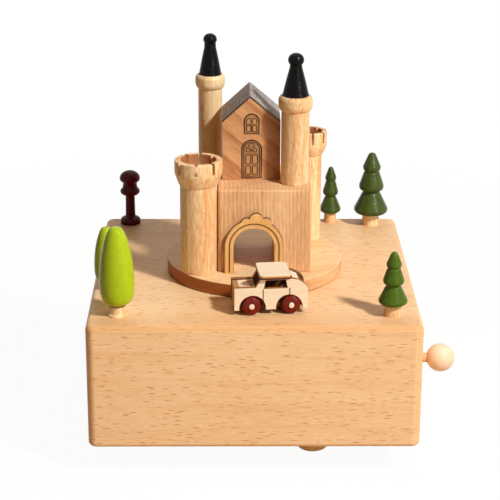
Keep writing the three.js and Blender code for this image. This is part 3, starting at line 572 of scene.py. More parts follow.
# %% Slots in a crown with Geometry Nodes
class Group(Tree):
    """A Geometry Nodes tree with a geometry, some numbers and a finish as its inputs."""
    prefix = "GeometryNode"

    def __init__(self, name, **numbers):
        super().__init__(bpy.data.node_groups.new(name, "GeometryNodeTree"))
        add = self.tree.interface.new_socket
        add("Geometry", in_out="OUTPUT", socket_type="NodeSocketGeometry")
        for label, kind in {"Geometry": "Geometry", **numbers, "Finish": "Material"}.items():
            add(label, in_out="INPUT", socket_type="NodeSocket" + kind)
        self.ins = self.tree.nodes.new("NodeGroupInput")
        self.outs = self.tree.nodes.new("NodeGroupOutput")

    def given(self, label):
        return Value(self, self.ins.outputs[label])

    def end(self, made):
        """Every tree ends the same way: instances made real, then the finish."""
        real = self.node("RealizeInstances", {}, {"Geometry": made})
        self.feed(self.outs.inputs[0], self.node("SetMaterial", {}, {
            "Geometry": real, "Material": self.given("Finish")}))

    def run(self, obj, **values):
        """Adds the group to an object, sets its inputs and leaves a plain mesh."""
        nodes = obj.modifiers.new(self.tree.name, "NODES")
        nodes.node_group = self.tree
        for item in self.tree.interface.items_tree:
            if item.in_out == "INPUT" and item.name in values:
                nodes[item.identifier] = values[item.name]
        return flatten(obj)


SLOTS = Group("crown slots", Slots="Int", Width="Float", Reach="Float", Depth="Float",
              Turn="Float", Axis="Vector")
add, given = SLOTS.node, SLOTS.given
points = add("MeshLine", {"mode": "OFFSET"}, {
    "Count": given("Slots"), "Offset": (0, 0, 0), "Start Location": given("Axis")})
share = add("InputIndex") / given("Slots")
angle = share.sum("MULTIPLY_ADD", share, math.tau, given("Turn"))
size = add("ShaderNodeCombineXYZ", {}, {
    "X": given("Reach"), "Y": given("Width"), "Z": given("Depth") * 2.0})
outwards = add("ShaderNodeCombineXYZ", {}, {"X": given("Reach") * 0.75})
cutter = add("Transform", {}, {
    "Geometry": add("MeshCube", {}, {"Size": size}), "Translation": outwards})
placed = add("InstanceOnPoints", {}, {
    "Points": points, "Instance": cutter,
    "Rotation": add("ShaderNodeCombineXYZ", {}, {"Z": angle})})
SLOTS.end(add("MeshBoolean", {"operation": "DIFFERENCE", "solver": "EXACT"}, {
    "Mesh 1": given("Geometry"),
    "Mesh 2": add("RealizeInstances", {}, {"Geometry": placed})}))
print("crown slots:", [item.name for item in SLOTS.tree.interface.items_tree])

# %% [markdown]
# ## Turned beech
# The same wood looks different on a lathe. The disc's rim takes more oil, and shade is
# painted on it towards the front left and inside the bored cups of two towers. Darker
# places could be painted on a UV map; here the way that the surface faces says where
# they are, so nothing has to be unwrapped.

# %% Pale beech for turned work
def oiled_rim_and_painted_shade(s, painted):
    """The rim is a little darker all round, as it takes more oil, and darker still where it faces
    front left and back right: painted shade.
    """
    # Painted shade: the rim that faces front left, away from the key lamp, is darkened, and the
    # opposite side with it.
    end = s.smooth(abs(s.facing_along((0.5, 0.86, 0))), 0.15, 0.75)
    rim = s.smooth(abs(s.parts(s.facing)[2]), 0.8, 0.3)
    return s.mix(rim * (end * 0.7 + 0.25), painted, (168, 84, 16))


def painted_cup_shade(s, painted):
    """The cups bored into the two hollow towers are painted darker inside, as shade in the
    recess.
    """
    out_x, out_y, _ = s.parts(s.facing)
    for node in ("tower_front_left", "tower_rear_right"):
        x, y, _ = s.parts(s.millimetres((*middle(node)[:2], 0)))
        inward = (out_x * x + out_y * y) * -1.0
        near = s.smooth(x * x + y * y, 49, 40)
        # Painted shade on the inward-facing walls of each cup.
        painted = s.mix(s.smooth(inward, 0.4, 1.6) * near * 0.8, painted, (150, 78, 30))
    return painted


pale_beech = wood("pale_beech", (255, 220, 170), (228, 178, 120), (184, 118, 64),
                  centre=(0, 0, 58), turn=(0, 0, math.radians(-8)), flecks=0.45, rough=0.48,
                  pith=(30, 90), ring=4, fibre=0.75, marks_and_painted_light=oiled_rim_and_painted_shade)
turned_beech = wood("turned_beech", (255, 229, 180), (226, 161, 97), (180, 112, 58),
                    turn=ALONG_Z, flecks=0.42, rough=0.45, pith=(70, 110), ring=4.5,
                    fleck_cell=(4.2, 1.0, 1.0), fibre=0.8, mottle=0.5, waviness=4,
                    marks_and_painted_light=painted_cup_shade)
print("woods for turned work:", pale_beech.name, turned_beech.name)

# %% [markdown]
# ## The disc and four towers
# Two towers are bored out and slotted at the top, two end in a collar below a cap. Each
# is one profile, as on the lathe. Where a tower stands and where it ends comes from its
# CAD node. The radii are written out, since two towers are a little stouter than their
# solids, and a copy of a solid would keep its width.

# %% Disc and towers
DISC_RADIUS, HUB, HUB_DEEP = 32.0, 1.7, 2.6
SUNK = 0.6


def hollow_tower(node, radius, shaft, crown, flare, wall, slot, deep, turn):
    """A tower whose crown is bored from above and cut by eight slots."""
    x, y, low, high = middle(node)
    floor = high - deep - 0.6
    profile = rounded([
        (0, low), (radius, low), (radius, shaft - 0.3), (radius + 0.4, shaft),
        (crown, shaft + flare), (crown, high), (crown - wall, high), (crown - wall, floor),
        (0, floor)], [0, 0.45, 0.3, 0.5, 0.9, 0.45, 0.4, 0.5, 0], steps=6)
    obj = SLOTS.run(linked(node + "_look", lathe(profile, (x, y, 0), 96)), Slots=8,
                    Width=slot * MM, Reach=crown * MM, Depth=deep * MM,
                    Turn=math.radians(turn), Axis=Vector((x, y, high)) * MM,
                    Finish=turned_beech)
    return enlist(shade(sand(obj, 0.12, 2, 40)), node)


def collar_tower(node, radius, collar, rise):
    """The collar ends a little lower than in the solid, and its cap reaches down to it."""
    x, y, low, high = middle(node)
    top, end = high - rise, high - SUNK
    profile = rounded([
        (0, low), (radius, low), (radius, top), ((radius + collar) / 2, top + 0.15),
        (collar, top + rise * 0.26), (collar, top + rise * 0.72), (collar - 0.75, end), (0, end)],
        [0, 0.4, 0.1, 0.3, 0.6, 0.9, 0.4, 0], steps=6)
    turned_piece(node, profile, (x, y, 0), turned_beech, 96)


x, y, low, high = middle("turntable_disc")
turned_piece("turntable_disc", rounded([
    (0, low + HUB_DEEP), (HUB, low + HUB_DEEP), (HUB, low), (DISC_RADIUS, low),
    (DISC_RADIUS, high), (0, high)], [0, 0.1, 0.3, 0.5, 0.5, 0]),
    (x, y, 0), pale_beech, sides=160, name="turntable")
hollow_tower("tower_front_left", radius=6.6, shaft=93.7, crown=8.5, flare=4.1, wall=2.3,
             slot=1.15, deep=4.1, turn=-5)
hollow_tower("tower_rear_right", radius=4.2, shaft=94.8, crown=6.0, flare=3.0, wall=1.8,
             slot=0.9, deep=4.1, turn=6)
collar_tower("tower_rear_left", radius=4.4, collar=5.45, rise=5.5)
collar_tower("tower_front_right", radius=4.95, collar=6.05, rise=5.8)
print("towers turned")

# %% [markdown]
# ## Lacquer and the black caps
# Painted pieces are dipped or sprayed: a thin glossy coat over the wood, with a slight
# unevenness that breaks up the highlights and a hint of the lathe's rings below it. A
# Coat layer over a rough base would model it fully; one smooth layer with a weak
# reflection looks the same at this size, and the darks stay dark against a white room.

# %% Lacquer and caps
def lacquer(name, base, deep, *, rough=0.2, streaks=0.4, grain=0.04, specular=0.5,
            scale=(0.5, 0.5, 0.5), turning=0.5):
    s = Surface(name, Roughness=rough, Specular_IOR_Level=specular)
    p = s.millimetres()
    patch = s.noise(s.stretched(p, scale), detail=4.0, roughness=0.6)
    fine = s.noise(s.stretched(p, (2.2, 2.2, 1.0)), detail=3.0, roughness=0.65)
    rings = s.noise(s.stretched(p, (0.3, 0.3, 4.5)))
    uneven = s.smooth(patch * 0.7 + fine * 0.3, 0.5 - streaks / 2, 0.5 + streaks / 2)
    s.use(Base_Color=s.mix(uneven, base, deep), Roughness=rough + (fine - 0.5) * 0.3)
    s.relief(fine * 0.3 + patch * 0.2 + rings * turning, grain)
    return s.material


cap_black = lacquer("cap_black", (14, 10, 8), (6, 4, 3), grain=0.12, specular=0.1, turning=0.9)
FLATTENED = 0.87


def cap_profile(base, neck, neck_top, ball, height):
    """A cone that flares at its foot, with a ball on top that is a little flattened."""
    height += SUNK
    centre = height - ball * FLATTENED
    start = math.degrees(math.asin(min(1, neck * 0.98 / ball))) - 90
    top = [(x, centre + z * FLATTENED) for x, z in arc((0, 0), ball, start, 90, 14)]
    waist = [(base - 0.3, 0.9), ((base + neck) * 0.49, neck_top * 0.5), (neck, neck_top * 0.93)]
    return rounded([(0, 0), (base, 0), *waist], [0, 0.35, 3, 3, 0]) + top[:-1] + [(0, height)]


for node, sizes in {
        "cap_rear_left": dict(base=4.25, neck=2.15, neck_top=10.8, ball=2.5, height=14.5),
        "cap_front_right": dict(base=4.82, neck=2.2, neck_top=10.9, ball=2.85, height=14.6),
}.items():
    x, y, low, _ = middle(node)
    turned_piece(node, cap_profile(**sizes), (x, y, low - SUNK), cap_black, 80)
print("caps turned")

# %% [markdown]
# ## Trees and the lamp
# Each tree is two turned pieces: a bare trunk set in a hole in the box and a lacquered
# crown on top. The firs have three tiers, the round tree is a single full curve. Stacked
# cones would make a fir too, but a profile also has the small rounds between the tiers.
# Profiles are shares of a crown's radius and height, so one list serves every size.

# %% Trees, lamp
FIR = [(0, 0), (0.5, 0), (0.93, 0.035), (1.02, 0.088), (0.53, 0.352), (0.5, 0.366),
       (0.53, 0.385), (0.7, 0.415), (0.735, 0.47), (0.46, 0.684), (0.43, 0.695), (0.45, 0.71),
       (0.5, 0.728), (0.53, 0.775), (0.19, 0.985), (0, 1)]
FIR_ROUND = [0, 0.3, 0.7, 0.8, 0.2, 0.12, 0.2, 0.5, 0.7, 0.15, 0.1, 0.15, 0.3, 0.4, 0.9, 0]
LEAF = [(0.55, 0.025), (0.82, 0.06), (0.96, 0.14), (1, 0.27), (0.98, 0.43), (0.9, 0.6),
        (0.75, 0.76), (0.57, 0.89), (0.38, 0.975), (0.2, 1), (0, 1)]
LAMP = [(0.92, 0), (1.01, 0.02), (1.01, 0.08), (0.82, 0.115), (0.52, 0.13), (0.48, 0.17),
        (0.46, 0.52), (0.5, 0.54), (0.9, 0.56), (1.02, 0.625), (0.76, 0.675), (0.7, 0.72),
        (0.7, 0.765), (0.8, 0.79), (1.01, 0.825), (1.02, 0.885), (0.8, 0.95), (0.4, 0.99),
        (0, 1)]
LAMP_RADIUS = 3.95

fir_front = lacquer("fir_front", (86, 114, 18), (60, 86, 8), streaks=0.8, grain=0.1,
                    specular=0.13)
fir_back = lacquer("fir_back", (78, 94, 34), (52, 68, 20), rough=0.24, streaks=0.6, grain=0.08,
                   scale=(0.7, 0.7, 0.2), specular=0.2, turning=0.9)
leaf_green = lacquer("leaf_green", (188, 208, 42), (160, 186, 16), streaks=1.0, grain=0.015,
                     specular=0.09)
dark_red = lacquer("dark_red", (112, 20, 12), (70, 9, 6), streaks=0.6, specular=0.09)


def tree(name, shares, crown_look):
    crown, trunk = name + "_crown", name + "_trunk"
    x, y, low, high = middle(crown)
    outline = [(r * half_width(crown), low + h * (high - low)) for r, h in shares]
    if shares is FIR:
        outline = rounded(outline, FIR_ROUND)
    else:
        foot, first_z = outline[0]
        outline = [(0, first_z), (foot * 0.5, first_z), *flowing(outline)]
    turned_piece(crown, outline, (x, y, 0), crown_look, 80)
    x, y, low, high = middle(trunk)
    r = half_width(trunk)
    profile = [(0, low), (r, low), (r, BOX_TOP + 0.8), (r * 0.93, high), (0, high)]
    radii = [0, 0.2, 1.5, 0.2, 0]
    if shares is LEAF:
        foot, waist = r * 1.08, r * 0.9
        profile[2:] = [(r, BOX_TOP + 0.02), (foot, BOX_TOP + 0.02), (foot, BOX_TOP + 0.55),
                       (waist, BOX_TOP + 1.0), (waist, high), (0, high)]
        radii = [0, 0.2, 0, 0.1, 0.35, 0.6, 0.2, 0]
    turned_piece(trunk, rounded(profile, radii), (x, y, 0), turned_beech, 48)


tree("fir_front_right", FIR, fir_front)
tree("fir_back_right", FIR, fir_back)
tree("fir_back_middle", FIR, fir_back)
tree("leaf_tree_front", LEAF, leaf_green)
tree("leaf_tree_rear", LEAF, leaf_green)
x, y, low, high = middle("lamp_post")
lamp = flowing([(r * LAMP_RADIUS, BOX_TOP + h * (high - BOX_TOP)) for r, h in LAMP])
turned_piece("lamp_post", [*rod(LAMP_PEG, low, BOX_TOP)[:3], *lamp[1:]], (x, y, 0), dark_red, 80)
print("trees and lamp turned")

# %% [markdown]
# ## Burnt lines
# A laser draws the door, the window and the line on the arch: narrow grooves, brown
# inside. A dark pattern in the material would show them from the front, but a cut line
# catches the light, stays sharp close up and is there in the mesh as well. A rectangle
# is swept along each drawn path by Geometry Nodes, and the result is cut away.

# %% Burnt lines with Geometry Nodes
LINES = Group("burnt lines", Width="Float", Depth="Float")
drawn = LINES.node("MeshToCurve", {}, {"Mesh": LINES.given("Geometry")})
LINES.end(LINES.node("CurveToMesh", {}, {
    "Curve": LINES.node("SetCurveNormal", {"mode": "Z_UP"}, {"Curve": drawn}),
    "Profile Curve": LINES.node("CurvePrimitiveQuadrilateral", {}, {
        "Width": LINES.given("Width"), "Height": LINES.given("Depth")}),
    "Fill Caps": True}))


def groove(paths, cut, place, finish):
    """A cutter along drawn paths in a plane; a path is (points, closed), a cut is (width,
    depth), in millimetres."""
    verts, edges = [], []
    for points, closed in paths:
        start = len(verts)
        verts += [(x * MM, y * MM, 0) for x, y in points]
        edges += [(start + i, start + i + 1) for i in range(len(points) - 1)]
        if closed:
            edges.append((len(verts) - 1, start))
    mesh = bpy.data.meshes.new("paths")
    mesh.from_pydata(verts, edges, [])
    obj = linked("paths", mesh)
    mesh = LINES.run(obj, Width=cut[0] * MM, Depth=2 * cut[1] * MM, Finish=finish).data
    bpy.data.objects.remove(obj)
    at = place.copy()
    at.translation *= MM
    mesh.transform(at)
    work = bmesh.new()
    work.from_mesh(mesh)
    bmesh.ops.recalc_face_normals(work, faces=work.faces)
    return meshed(work, mesh)


print("burnt lines:", [item.name for item in LINES.tree.interface.items_tree])

# %% [markdown]
# ## Gate and arch
# The gate is a block with a tunnel sawn through it, grain standing up. In front of it
# sits a thin plywood arch cut by laser, which leaves its edges brown, with one line
# burnt along the middle of the band. The crest is three discs joined to the band with a
# Boolean, which is simpler than one outline made of arcs that have to meet.

# %% Gate block and arch
GATE_X, GATE_Y, GATE_LOW, GATE_TOP = middle("gate_block")
GATE_FRONT, GATE_BACK = (v.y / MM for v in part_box("gate_block"))
ARCH_X = SPINDLE_X - 0.4
ARCH_FRONT, ARCH_BACK = (v.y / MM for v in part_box("arch_frame"))
HALF, SPRING, BAND = 7.2, 9.8, 3.3
LINE, LINE_CUT = HALF + 1.65, (0.4, 0.2)

gate_wood = wood("gate_wood", (252, 208, 156), (205, 145, 93), (170, 107, 64),
                 centre=(GATE_X, GATE_Y, GATE_LOW), turn=ALONG_Z, pith=(10, -60), ring=1.45,
                 ring_depth=0.42, waviness=1.4, flecks=0.2, fleck_cell=(2.6, 0.8, 0.8),
                 rough=0.6, fibre=0.5, mottle=0.4)


def arch_board(half, bottom, front, back, steps=32):
    outline = [(ARCH_X + x, GATE_LOW + z) for x, z in arched(0, half, bottom, SPRING, steps)]
    return board(outline, front, back, "Y")


def past_arch(s, x, z, spring):
    """How far a point lies from the middle of an upright opening with a round top."""
    rise = (z - spring).at_least(0.0)
    return (x * x + rise * rise).root()


def arch_scorch(s, painted):
    """Brown cut faces, a dark line along the band and a soft halo beside it."""
    x, y, z = s.parts(s.millimetres((ARCH_X, ARCH_FRONT, GATE_LOW)))
    off_line = abs(past_arch(s, x, z, SPRING) - LINE)
    painted = s.mix(s.smooth(off_line, 0.6, 0.2) * 0.3, painted, (150, 90, 40))
    border = s.within(off_line, 1.25, 1.6, 1.8, 2.2) * s.smooth(z, SPRING + 8, SPRING + 6)
    painted = s.mix(border * 0.6, painted, (120, 68, 30))
    burnt = s.smooth(y, 0.08, 0.16) * s.smooth(off_line, 0.5, 0.3)
    painted = s.mix(burnt, painted, (128, 72, 34))
    face = s.smooth(abs(s.facing_along((0, 1, 0))), 0.3, 0.7)
    char = s.noise(s.millimetres(), scale=0.9)
    return s.mix(face, s.mix(char, (84, 46, 22), (154, 116, 92)), painted)


arch_ply = wood("arch_ply", (250, 202, 130), (230, 170, 98), (184, 120, 60),
                centre=(ARCH_X, ARCH_FRONT, GATE_LOW), turn=ALONG_Z, pith=(120, 8), ring=3,
                flecks=0.2, fleck_cell=(3, 0.9, 0.9), rough=0.58, marks_and_painted_light=arch_scorch)


def upright_at(x, y, z):
    return Matrix.Translation((x, y, z)) @ FACING_FRONT


def arch_mesh():
    outer = HALF + BAND
    bumps = [lathe(rod(r, 0, ARCH_BACK - ARCH_FRONT),
                   (ARCH_X + x, ARCH_FRONT, GATE_LOW + SPRING + outer + lift), 40, "Y")
             for x, lift, r in ((0.8, -0.3, 2.5), (-2.7, -1.4, 1.85), (4.3, -1.4, 1.85))]
    band = carve(arch_board(outer, 0, ARCH_FRONT, ARCH_BACK, 48), bumps, "UNION")
    middle_line = [(-LINE, 0.6), *reversed(arc((0, SPRING), LINE, 0, 180, 48)), (LINE, 0.6)]
    return carve(band, [
        arch_board(HALF, -1, ARCH_FRONT - 1, ARCH_BACK + 1),
        groove([(middle_line, False)], LINE_CUT, upright_at(ARCH_X, ARCH_FRONT, GATE_LOW),
               arch_ply)])


gate_left, gate_right = (v.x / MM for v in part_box("gate_block"))
gate_plan = rectangle(gate_left, gate_right, GATE_FRONT, GATE_BACK, 1.0)
gate_mesh = carve(board(gate_plan, GATE_LOW, GATE_TOP),
                  [arch_board(HALF, -1, GATE_FRONT - 1, GATE_BACK + 1)])
finished("gate_block", gate_mesh, gate_wood, edge=0.5, segments=3, name="gate")
finished("arch_frame", arch_mesh(), arch_ply, edge=0.08, segments=1, name="arch")
print("gate and arch made")

# %% [markdown]
# ## The house
# The house is cut from a board at an angle, so its grain runs down to the right. Its
# door and window are burnt lines, bold outside and fine inside, and the panes between
# them are left a little paler. The tint could be painted by hand; distances from the
# door's middle line give the same shape and move with it.

# %% House and its burnt door and window
HOUSE_X, _, HOUSE_LOW, _ = middle("house")
HOUSE_FRONT, HOUSE_BACK = (v.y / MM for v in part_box("house"))
EAVES, APEX, HOUSE_HALF, RIDGE = 21.2, 30.35, 10.4, -0.45
DOOR_X, WINDOW_X, MARKS_X = 0.13, 0.1, 0.12
DOOR, INNER_FRAME, FANLIGHT = (3.5, 0.73, 11.3), (2.8, 1.4, 11.3), (1.0, 12.2, 12.7)
WINDOW = (2.58, 17.15, 21.8)
PANEL_WIDE, PANE_WIDE = 1.75, 1.6
PANELS, PANE, PANE_TOP, EYES = ((2.1, 5.2), (5.95, 9.3)), (17.95, 20.1), (20.65, 22.7), 11.1
BOLD, FINE = (0.5, 0.3), (0.32, 0.25)


def inner_lines(x0, x1, y0, y1, radius):
    return rectangle(x0, x1, y0, y1, radius, 4), True


def circle(x, y, radius, steps=20):
    return arc((x, y), radius, 0, 360, steps)[:-1], True


def frame_paths():
    """The bold outer lines of the door and the window."""
    return [(arched(DOOR_X, *DOOR, 24), True), (arched(WINDOW_X, *WINDOW, 24), True)]


def panel_paths():
    """The fine lines: an inner frame, panels and rosettes in the door, four panes above."""
    paths = [(arched(DOOR_X, *INNER_FRAME, 24), True)]
    for x0 in (-1.95, 0.46):
        paths += [inner_lines(x0, x0 + PANEL_WIDE, *panel, 0.45) for panel in PANELS]
    paths += [circle(x, EYES, 0.62) for x in (DOOR_X - 1.28, DOOR_X + 1.28)]
    paths += [circle(DOOR_X, EYES, 0.3, 14), (arched(DOOR_X, *FANLIGHT, 12), True)]
    for x0 in (-1.72, 0.3):
        paths.append(inner_lines(x0, x0 + PANE_WIDE, *PANE, 0.3))
        half = PANE_WIDE / 2
        paths.append((arched(x0 + half, half, PANE_TOP[0], 22.0, 10), True))
    return paths


def house_burns_and_painted_shadow(s, painted):
    """The grooves are burnt, with a little brown on the wood beside them, and the right part of
    the wall is darkened as a painted shadow.
    """
    x, y, z = s.parts(s.millimetres((HOUSE_X, HOUSE_FRONT, HOUSE_LOW)))
    sway = s.noise(s.millimetres(), scale=0.25, detail=1.0)
    phase = ((x * 0.66 + z * 0.75) / 2.3 + sway * 0.8).fraction()
    thin = s.within(phase, 0.0, 0.05, 0.07, 0.12) * s.smooth(sway, 0.4, 0.6)
    painted = s.mix(thin * 0.45, painted, (248, 200, 146))
    # Painted shadow: the right part of the wall, behind the front right tower, is darkened.
    painted = s.mix(s.smooth(x + sway * 4, 5.0, 7.5) * 0.4, painted, (104, 54, 26))
    near = abs(x - MARKS_X)
    for half, bottom, spring in (DOOR, WINDOW):
        reach = past_arch(s, near, z, spring)
        pale = (s.smooth(reach, half, half - 0.2) * s.smooth(z, bottom, bottom + 0.2)
                * s.smooth(y, 0.1, 0.05))
        below_top = s.smooth(z, spring + half + 0.5, spring + half)
        painted = s.mix(pale * below_top * 0.5, painted, (120, 78, 42))
    for low, high in (*PANELS, PANE, PANE_TOP, (EYES - 0.5, EYES + 0.5)):
        pane = s.within(near, 0.4, 0.55, 1.8, 1.95) * s.smooth(z, low, low + 0.15)
        pane = pane * s.smooth(z, high, high - 0.15) * s.smooth(y, 0.1, 0.05)
        painted = s.mix(pane, painted, (192, 144, 92))
    inside = s.within(y, 0.05, 0.12, 0.3, 0.4)
    return s.mix(inside * s.smooth(near, 4.6, 4.2), painted, (56, 32, 16))


house_wood = wood("house_wood", (230, 176, 123), (180, 119, 74), (142, 88, 50),
                  centre=(HOUSE_X, HOUSE_FRONT, HOUSE_LOW), turn=(0, math.radians(-39), 0),
                  pith=(90, 30), ring=2.9, ring_depth=0.7, waviness=0.5, flecks=0.12,
                  fleck_cell=(4, 1.1, 1.1), rough=0.6, marks_and_painted_light=house_burns_and_painted_shadow)


def on_house(points):
    return [(HOUSE_X + x, HOUSE_LOW + z) for x, z in points]


gable = on_house([(-HOUSE_HALF, 0), (HOUSE_HALF, 0), (HOUSE_HALF, EAVES), (RIDGE, APEX),
                  (-HOUSE_HALF, EAVES)])
house = finished("house", board(gable, HOUSE_FRONT, HOUSE_BACK, "Y"), house_wood, edge=0.15)
wall = upright_at(HOUSE_X, HOUSE_FRONT, HOUSE_LOW)
house.data = carve(house.data, [groove(frame_paths(), BOLD, wall, house_wood),
                                groove(panel_paths(), FINE, wall, house_wood)])
shade(house)
print("house made")

# %% [markdown]
# ## The roof
# A thin skin of stained wood is folded over both slopes. Two boards that meet at the
# ridge would leave a joint to hide, so it is one outline, seen from the front and pushed
# back along the house.

# %% Roof
ROOF_LOW, ROOF_APEX, ROOF_THICK = EAVES + 0.12, APEX + 0.12, 0.95


def roof_look(s, painted):
    """A dark stain, darker on the sawn edges; the browner left slope is painted shade, and the
    black line along the lower front edge is a painted shadow.
    """
    facing = s.parts(s.facing)
    front = s.smooth(abs(facing[1]), 0.75, 0.95)
    x, _, z = s.parts(s.millimetres((HOUSE_X + RIDGE, HOUSE_FRONT, HOUSE_LOW + ROOF_APEX)))
    above = z + abs(x) * ((APEX - EAVES) / HOUSE_HALF)
    # Painted shade: the slope that faces left, away from the key lamp, is browner.
    painted_shade_slope = s.smooth(facing[0], 0.1, -0.3)
    painted = s.mix(painted_shade_slope * 0.4, painted, (142, 112, 86))
    painted = s.mix(front * 0.5, painted, (60, 48, 40))
    # Painted shadow: a black line along the lower front edge, where the roof meets the gable.
    return s.mix(front * s.smooth(above, 0.62, 0.4), painted, (26, 20, 16))


roof_grey = wood("roof_grey", (170, 160, 152), (112, 102, 96), (70, 60, 54),
                 centre=(HOUSE_X, 0, HOUSE_LOW + 30), turn=ALONG_Y, pith=(50, 30), ring=1.6,
                 flecks=0.6, fleck_cell=(6, 0.7, 0.7), rough=0.6, fibre=1.0, mottle=0.6,
                 marks_and_painted_light=roof_look)
shell = on_house([
    (-HOUSE_HALF, ROOF_LOW), (RIDGE, ROOF_APEX), (HOUSE_HALF, ROOF_LOW),
    (HOUSE_HALF, ROOF_LOW + ROOF_THICK), (RIDGE, ROOF_APEX + ROOF_THICK),
    (-HOUSE_HALF, ROOF_LOW + ROOF_THICK)])
roof_board = board(shell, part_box("roof")[0].y / MM, HOUSE_BACK, "Y")
finished("roof", roof_board, roof_grey, edge=0.3, segments=3)
print("roof made")

# %% [markdown]
# ## The toy car
# Two sides of pale board sit on a block with bonnet, seat and tail. The laser that cuts
# the sides browns every cut edge, and it draws the door gaps and the oval on the bonnet
# as burnt lines. Everything is drawn in the car's own frame, bonnet forward, and then
# turned into place; in the frame of the table each outline would be a row of odd numbers.

# %% Car frame and its wood
ORBIT, AHEAD = 41.7, math.radians(6.2)
CAR_TURN = math.pi + AHEAD
CAR_AT = Vector((SPINDLE_X + ORBIT * math.sin(AHEAD), SPINDLE_Y - ORBIT * math.cos(AHEAD),
                 BOX_TOP))
CAR = Matrix.Translation(CAR_AT) @ Matrix.Rotation(CAR_TURN, 4, "Z")
LENGTH, WIDTH, SIDE_THICK = 25.4, 11.3, 1.8
UNDERSIDE, BONNET, WINDOW_SILL, CAR_TOP = 2.0, 10.1, 9.6, 12.9
ARCH_R, ARCH_Z, AXLE_Z = 4.6, 2.65, 3.57
OVAL_X, OVAL_LONG, OVAL_WIDE, BONNET_TOP = 5.9, 3.8, 2.5, 9.8
FRONT_AXLE, REAR_AXLE = LENGTH / 2 - 5.9, 5.8 - LENGTH / 2


def in_car(points):
    """Distances from the front end, as the plan of the car gives them, to its own frame."""
    return [(LENGTH / 2 - along, up) for along, up in points]


def in_car_frame(s):
    """Place in the car's frame, the part of the normal that points to a side, and char."""
    local = s.millimetres(CAR_AT, (0, 0, -CAR_TURN))
    x, y, z = s.parts(local)
    normal = s.node("Mapping", {}, {"Vector": s.facing, "Rotation": (0, 0, -CAR_TURN)})
    char = s.smooth(s.noise(s.stretched(local, (0.8, 2.5, 0.8)), detail=3.0), 0.3, 0.7)
    return x, z, abs(y), abs(s.parts(normal)[1]), s.mix(char, (112, 60, 26), (190, 124, 64))


def side_burns_and_painted_shade(s, painted):
    """Brown cut edges, dark lines below the outer face, and painted shade on the inner faces."""
    _, _, out, side, brown = in_car_frame(s)
    painted = s.mix(s.smooth(side, 0.75, 0.35), painted, brown)
    sunk = s.smooth(out, 5.6, 5.5) * s.smooth(side, 0.6, 0.9) * s.smooth(out, 5.2, 5.3)
    painted = s.mix(sunk, painted, (98, 54, 26))
    # Painted shade: the inner faces, which look into the cabin, are dim brown.
    return s.mix(s.smooth(out, 3.95, 3.88), painted, (104, 60, 30))


def body_burns_and_painted_shade(s, painted):
    """Pale on the bonnet and the tail, browned on the boards across both ends, painted shade
    inside, and a brown oval that is partly a painted shadow of the windscreen.
    """
    x, z, out, _, brown = in_car_frame(s)
    on_top = s.smooth(z, 9.5, 9.6)
    bonnet = s.within(x, 5.2, 5.4, 10.7, 10.85) * on_top
    tail = s.within(x, -7.4, -7.6, -9.7, -9.9) * s.smooth(z, 7.4, 7.6)
    across, ahead = out / OVAL_WIDE, (x - OVAL_X) / OVAL_LONG
    oval = s.smooth(ahead * ahead + across * across, 1.0, 0.85)
    # Partly painted shadow: the oval is filled brown, as the windscreen's shadow darkens it.
    painted = s.mix(oval * on_top * 0.9, painted, (146, 92, 44))
    ends = s.smooth(abs(x), 10.9, 11.0)
    # Painted shade: the inside of the cabin is dark brown; the end boards keep a plain burnt
    # brown.
    inside = s.mix(ends, s.mix(0.55, brown, (70, 36, 16)), s.mix(0.5, brown, (220, 164, 102)))
    return s.mix(bonnet + tail, inside, painted)


def roof_scorch(s, painted):
    """The cut edges are brown, darker towards the bottom."""
    z = s.parts(s.millimetres(CAR_AT))[2]
    upright = s.smooth(abs(s.parts(s.facing)[2]), 0.75, 0.35)
    brown = s.mix(s.smooth(z, 14.3, 13.8), (224, 164, 104), (84, 44, 20))
    return s.mix(upright, painted, brown)


def pale_board(name, marks_and_painted_light=None, turn=(0, 0, -CAR_TURN)):
    return wood(name, (250, 233, 205), (237, 212, 174), (214, 174, 124), centre=CAR_AT,
                turn=turn, pith=(60, 70), ring=2.2, ring_depth=0.25, flecks=0.3,
                fleck_cell=(4, 0.7, 0.7), fibre=0.35, marks_and_painted_light=marks_and_painted_light)


car_wood = pale_board("car_wood", side_burns_and_painted_shade)
car_body_wood = pale_board("car_body_wood", body_burns_and_painted_shade)
car_roof_wood = pale_board("car_roof_wood", roof_scorch)
print("car at", [round(v, 1) for v in CAR_AT])

# %% [markdown]
# ## The car's pieces
# The sides are outlines with round wheel arches cut through them, and the roof is a
# small board with soft corners. Little shows of the body between them, so it is a copy
# of the CAD solid with the oval cut into its bonnet, instead of a drawing of its own.

# %% Sides, body and roof of the car
OUTLINE = in_car([
    (0, UNDERSIDE), (0, BONNET), (7.4, BONNET), (9.1, CAR_TOP), (10.8, CAR_TOP),
    (10.15, WINDOW_SILL), (18.4, WINDOW_SILL), (17.75, CAR_TOP), (20.3, CAR_TOP), (21.8, 12.5),
    (23.4, 11.6), (24.6, 10.6), (25.2, 9.7), (LENGTH, 8.6), (LENGTH, UNDERSIDE)])
CAR_CUT = (0.34, 0.3)
DOOR_GAPS = [(in_car([(9.9, 9.5), (9.9, 3.4)]), False), (in_car([(19.1, 9.7), (19.1, 6)]), False)]


def car_side(node, outward):
    faces = outward * WIDTH / 2, outward * (WIDTH / 2 - SIDE_THICK)
    low, high = min(faces), max(faces)
    arches = [board([(x + u, v) for u, v in arc((0, ARCH_Z), ARCH_R, 0, 360, 48)[:-1]],
                    low - 1, high + 1, "Y", CAR) for x in (FRONT_AXLE - 0.4, REAR_AXLE + 0.6)]
    wall = CAR @ Matrix.Translation((0, faces[0], 0)) @ FACING_FRONT
    side = carve(board(OUTLINE, low, high, "Y", CAR),
                 [*arches, groove(DOOR_GAPS, CAR_CUT, wall, car_wood)])
    finished(node, side, car_wood, edge=0.1, segments=1)


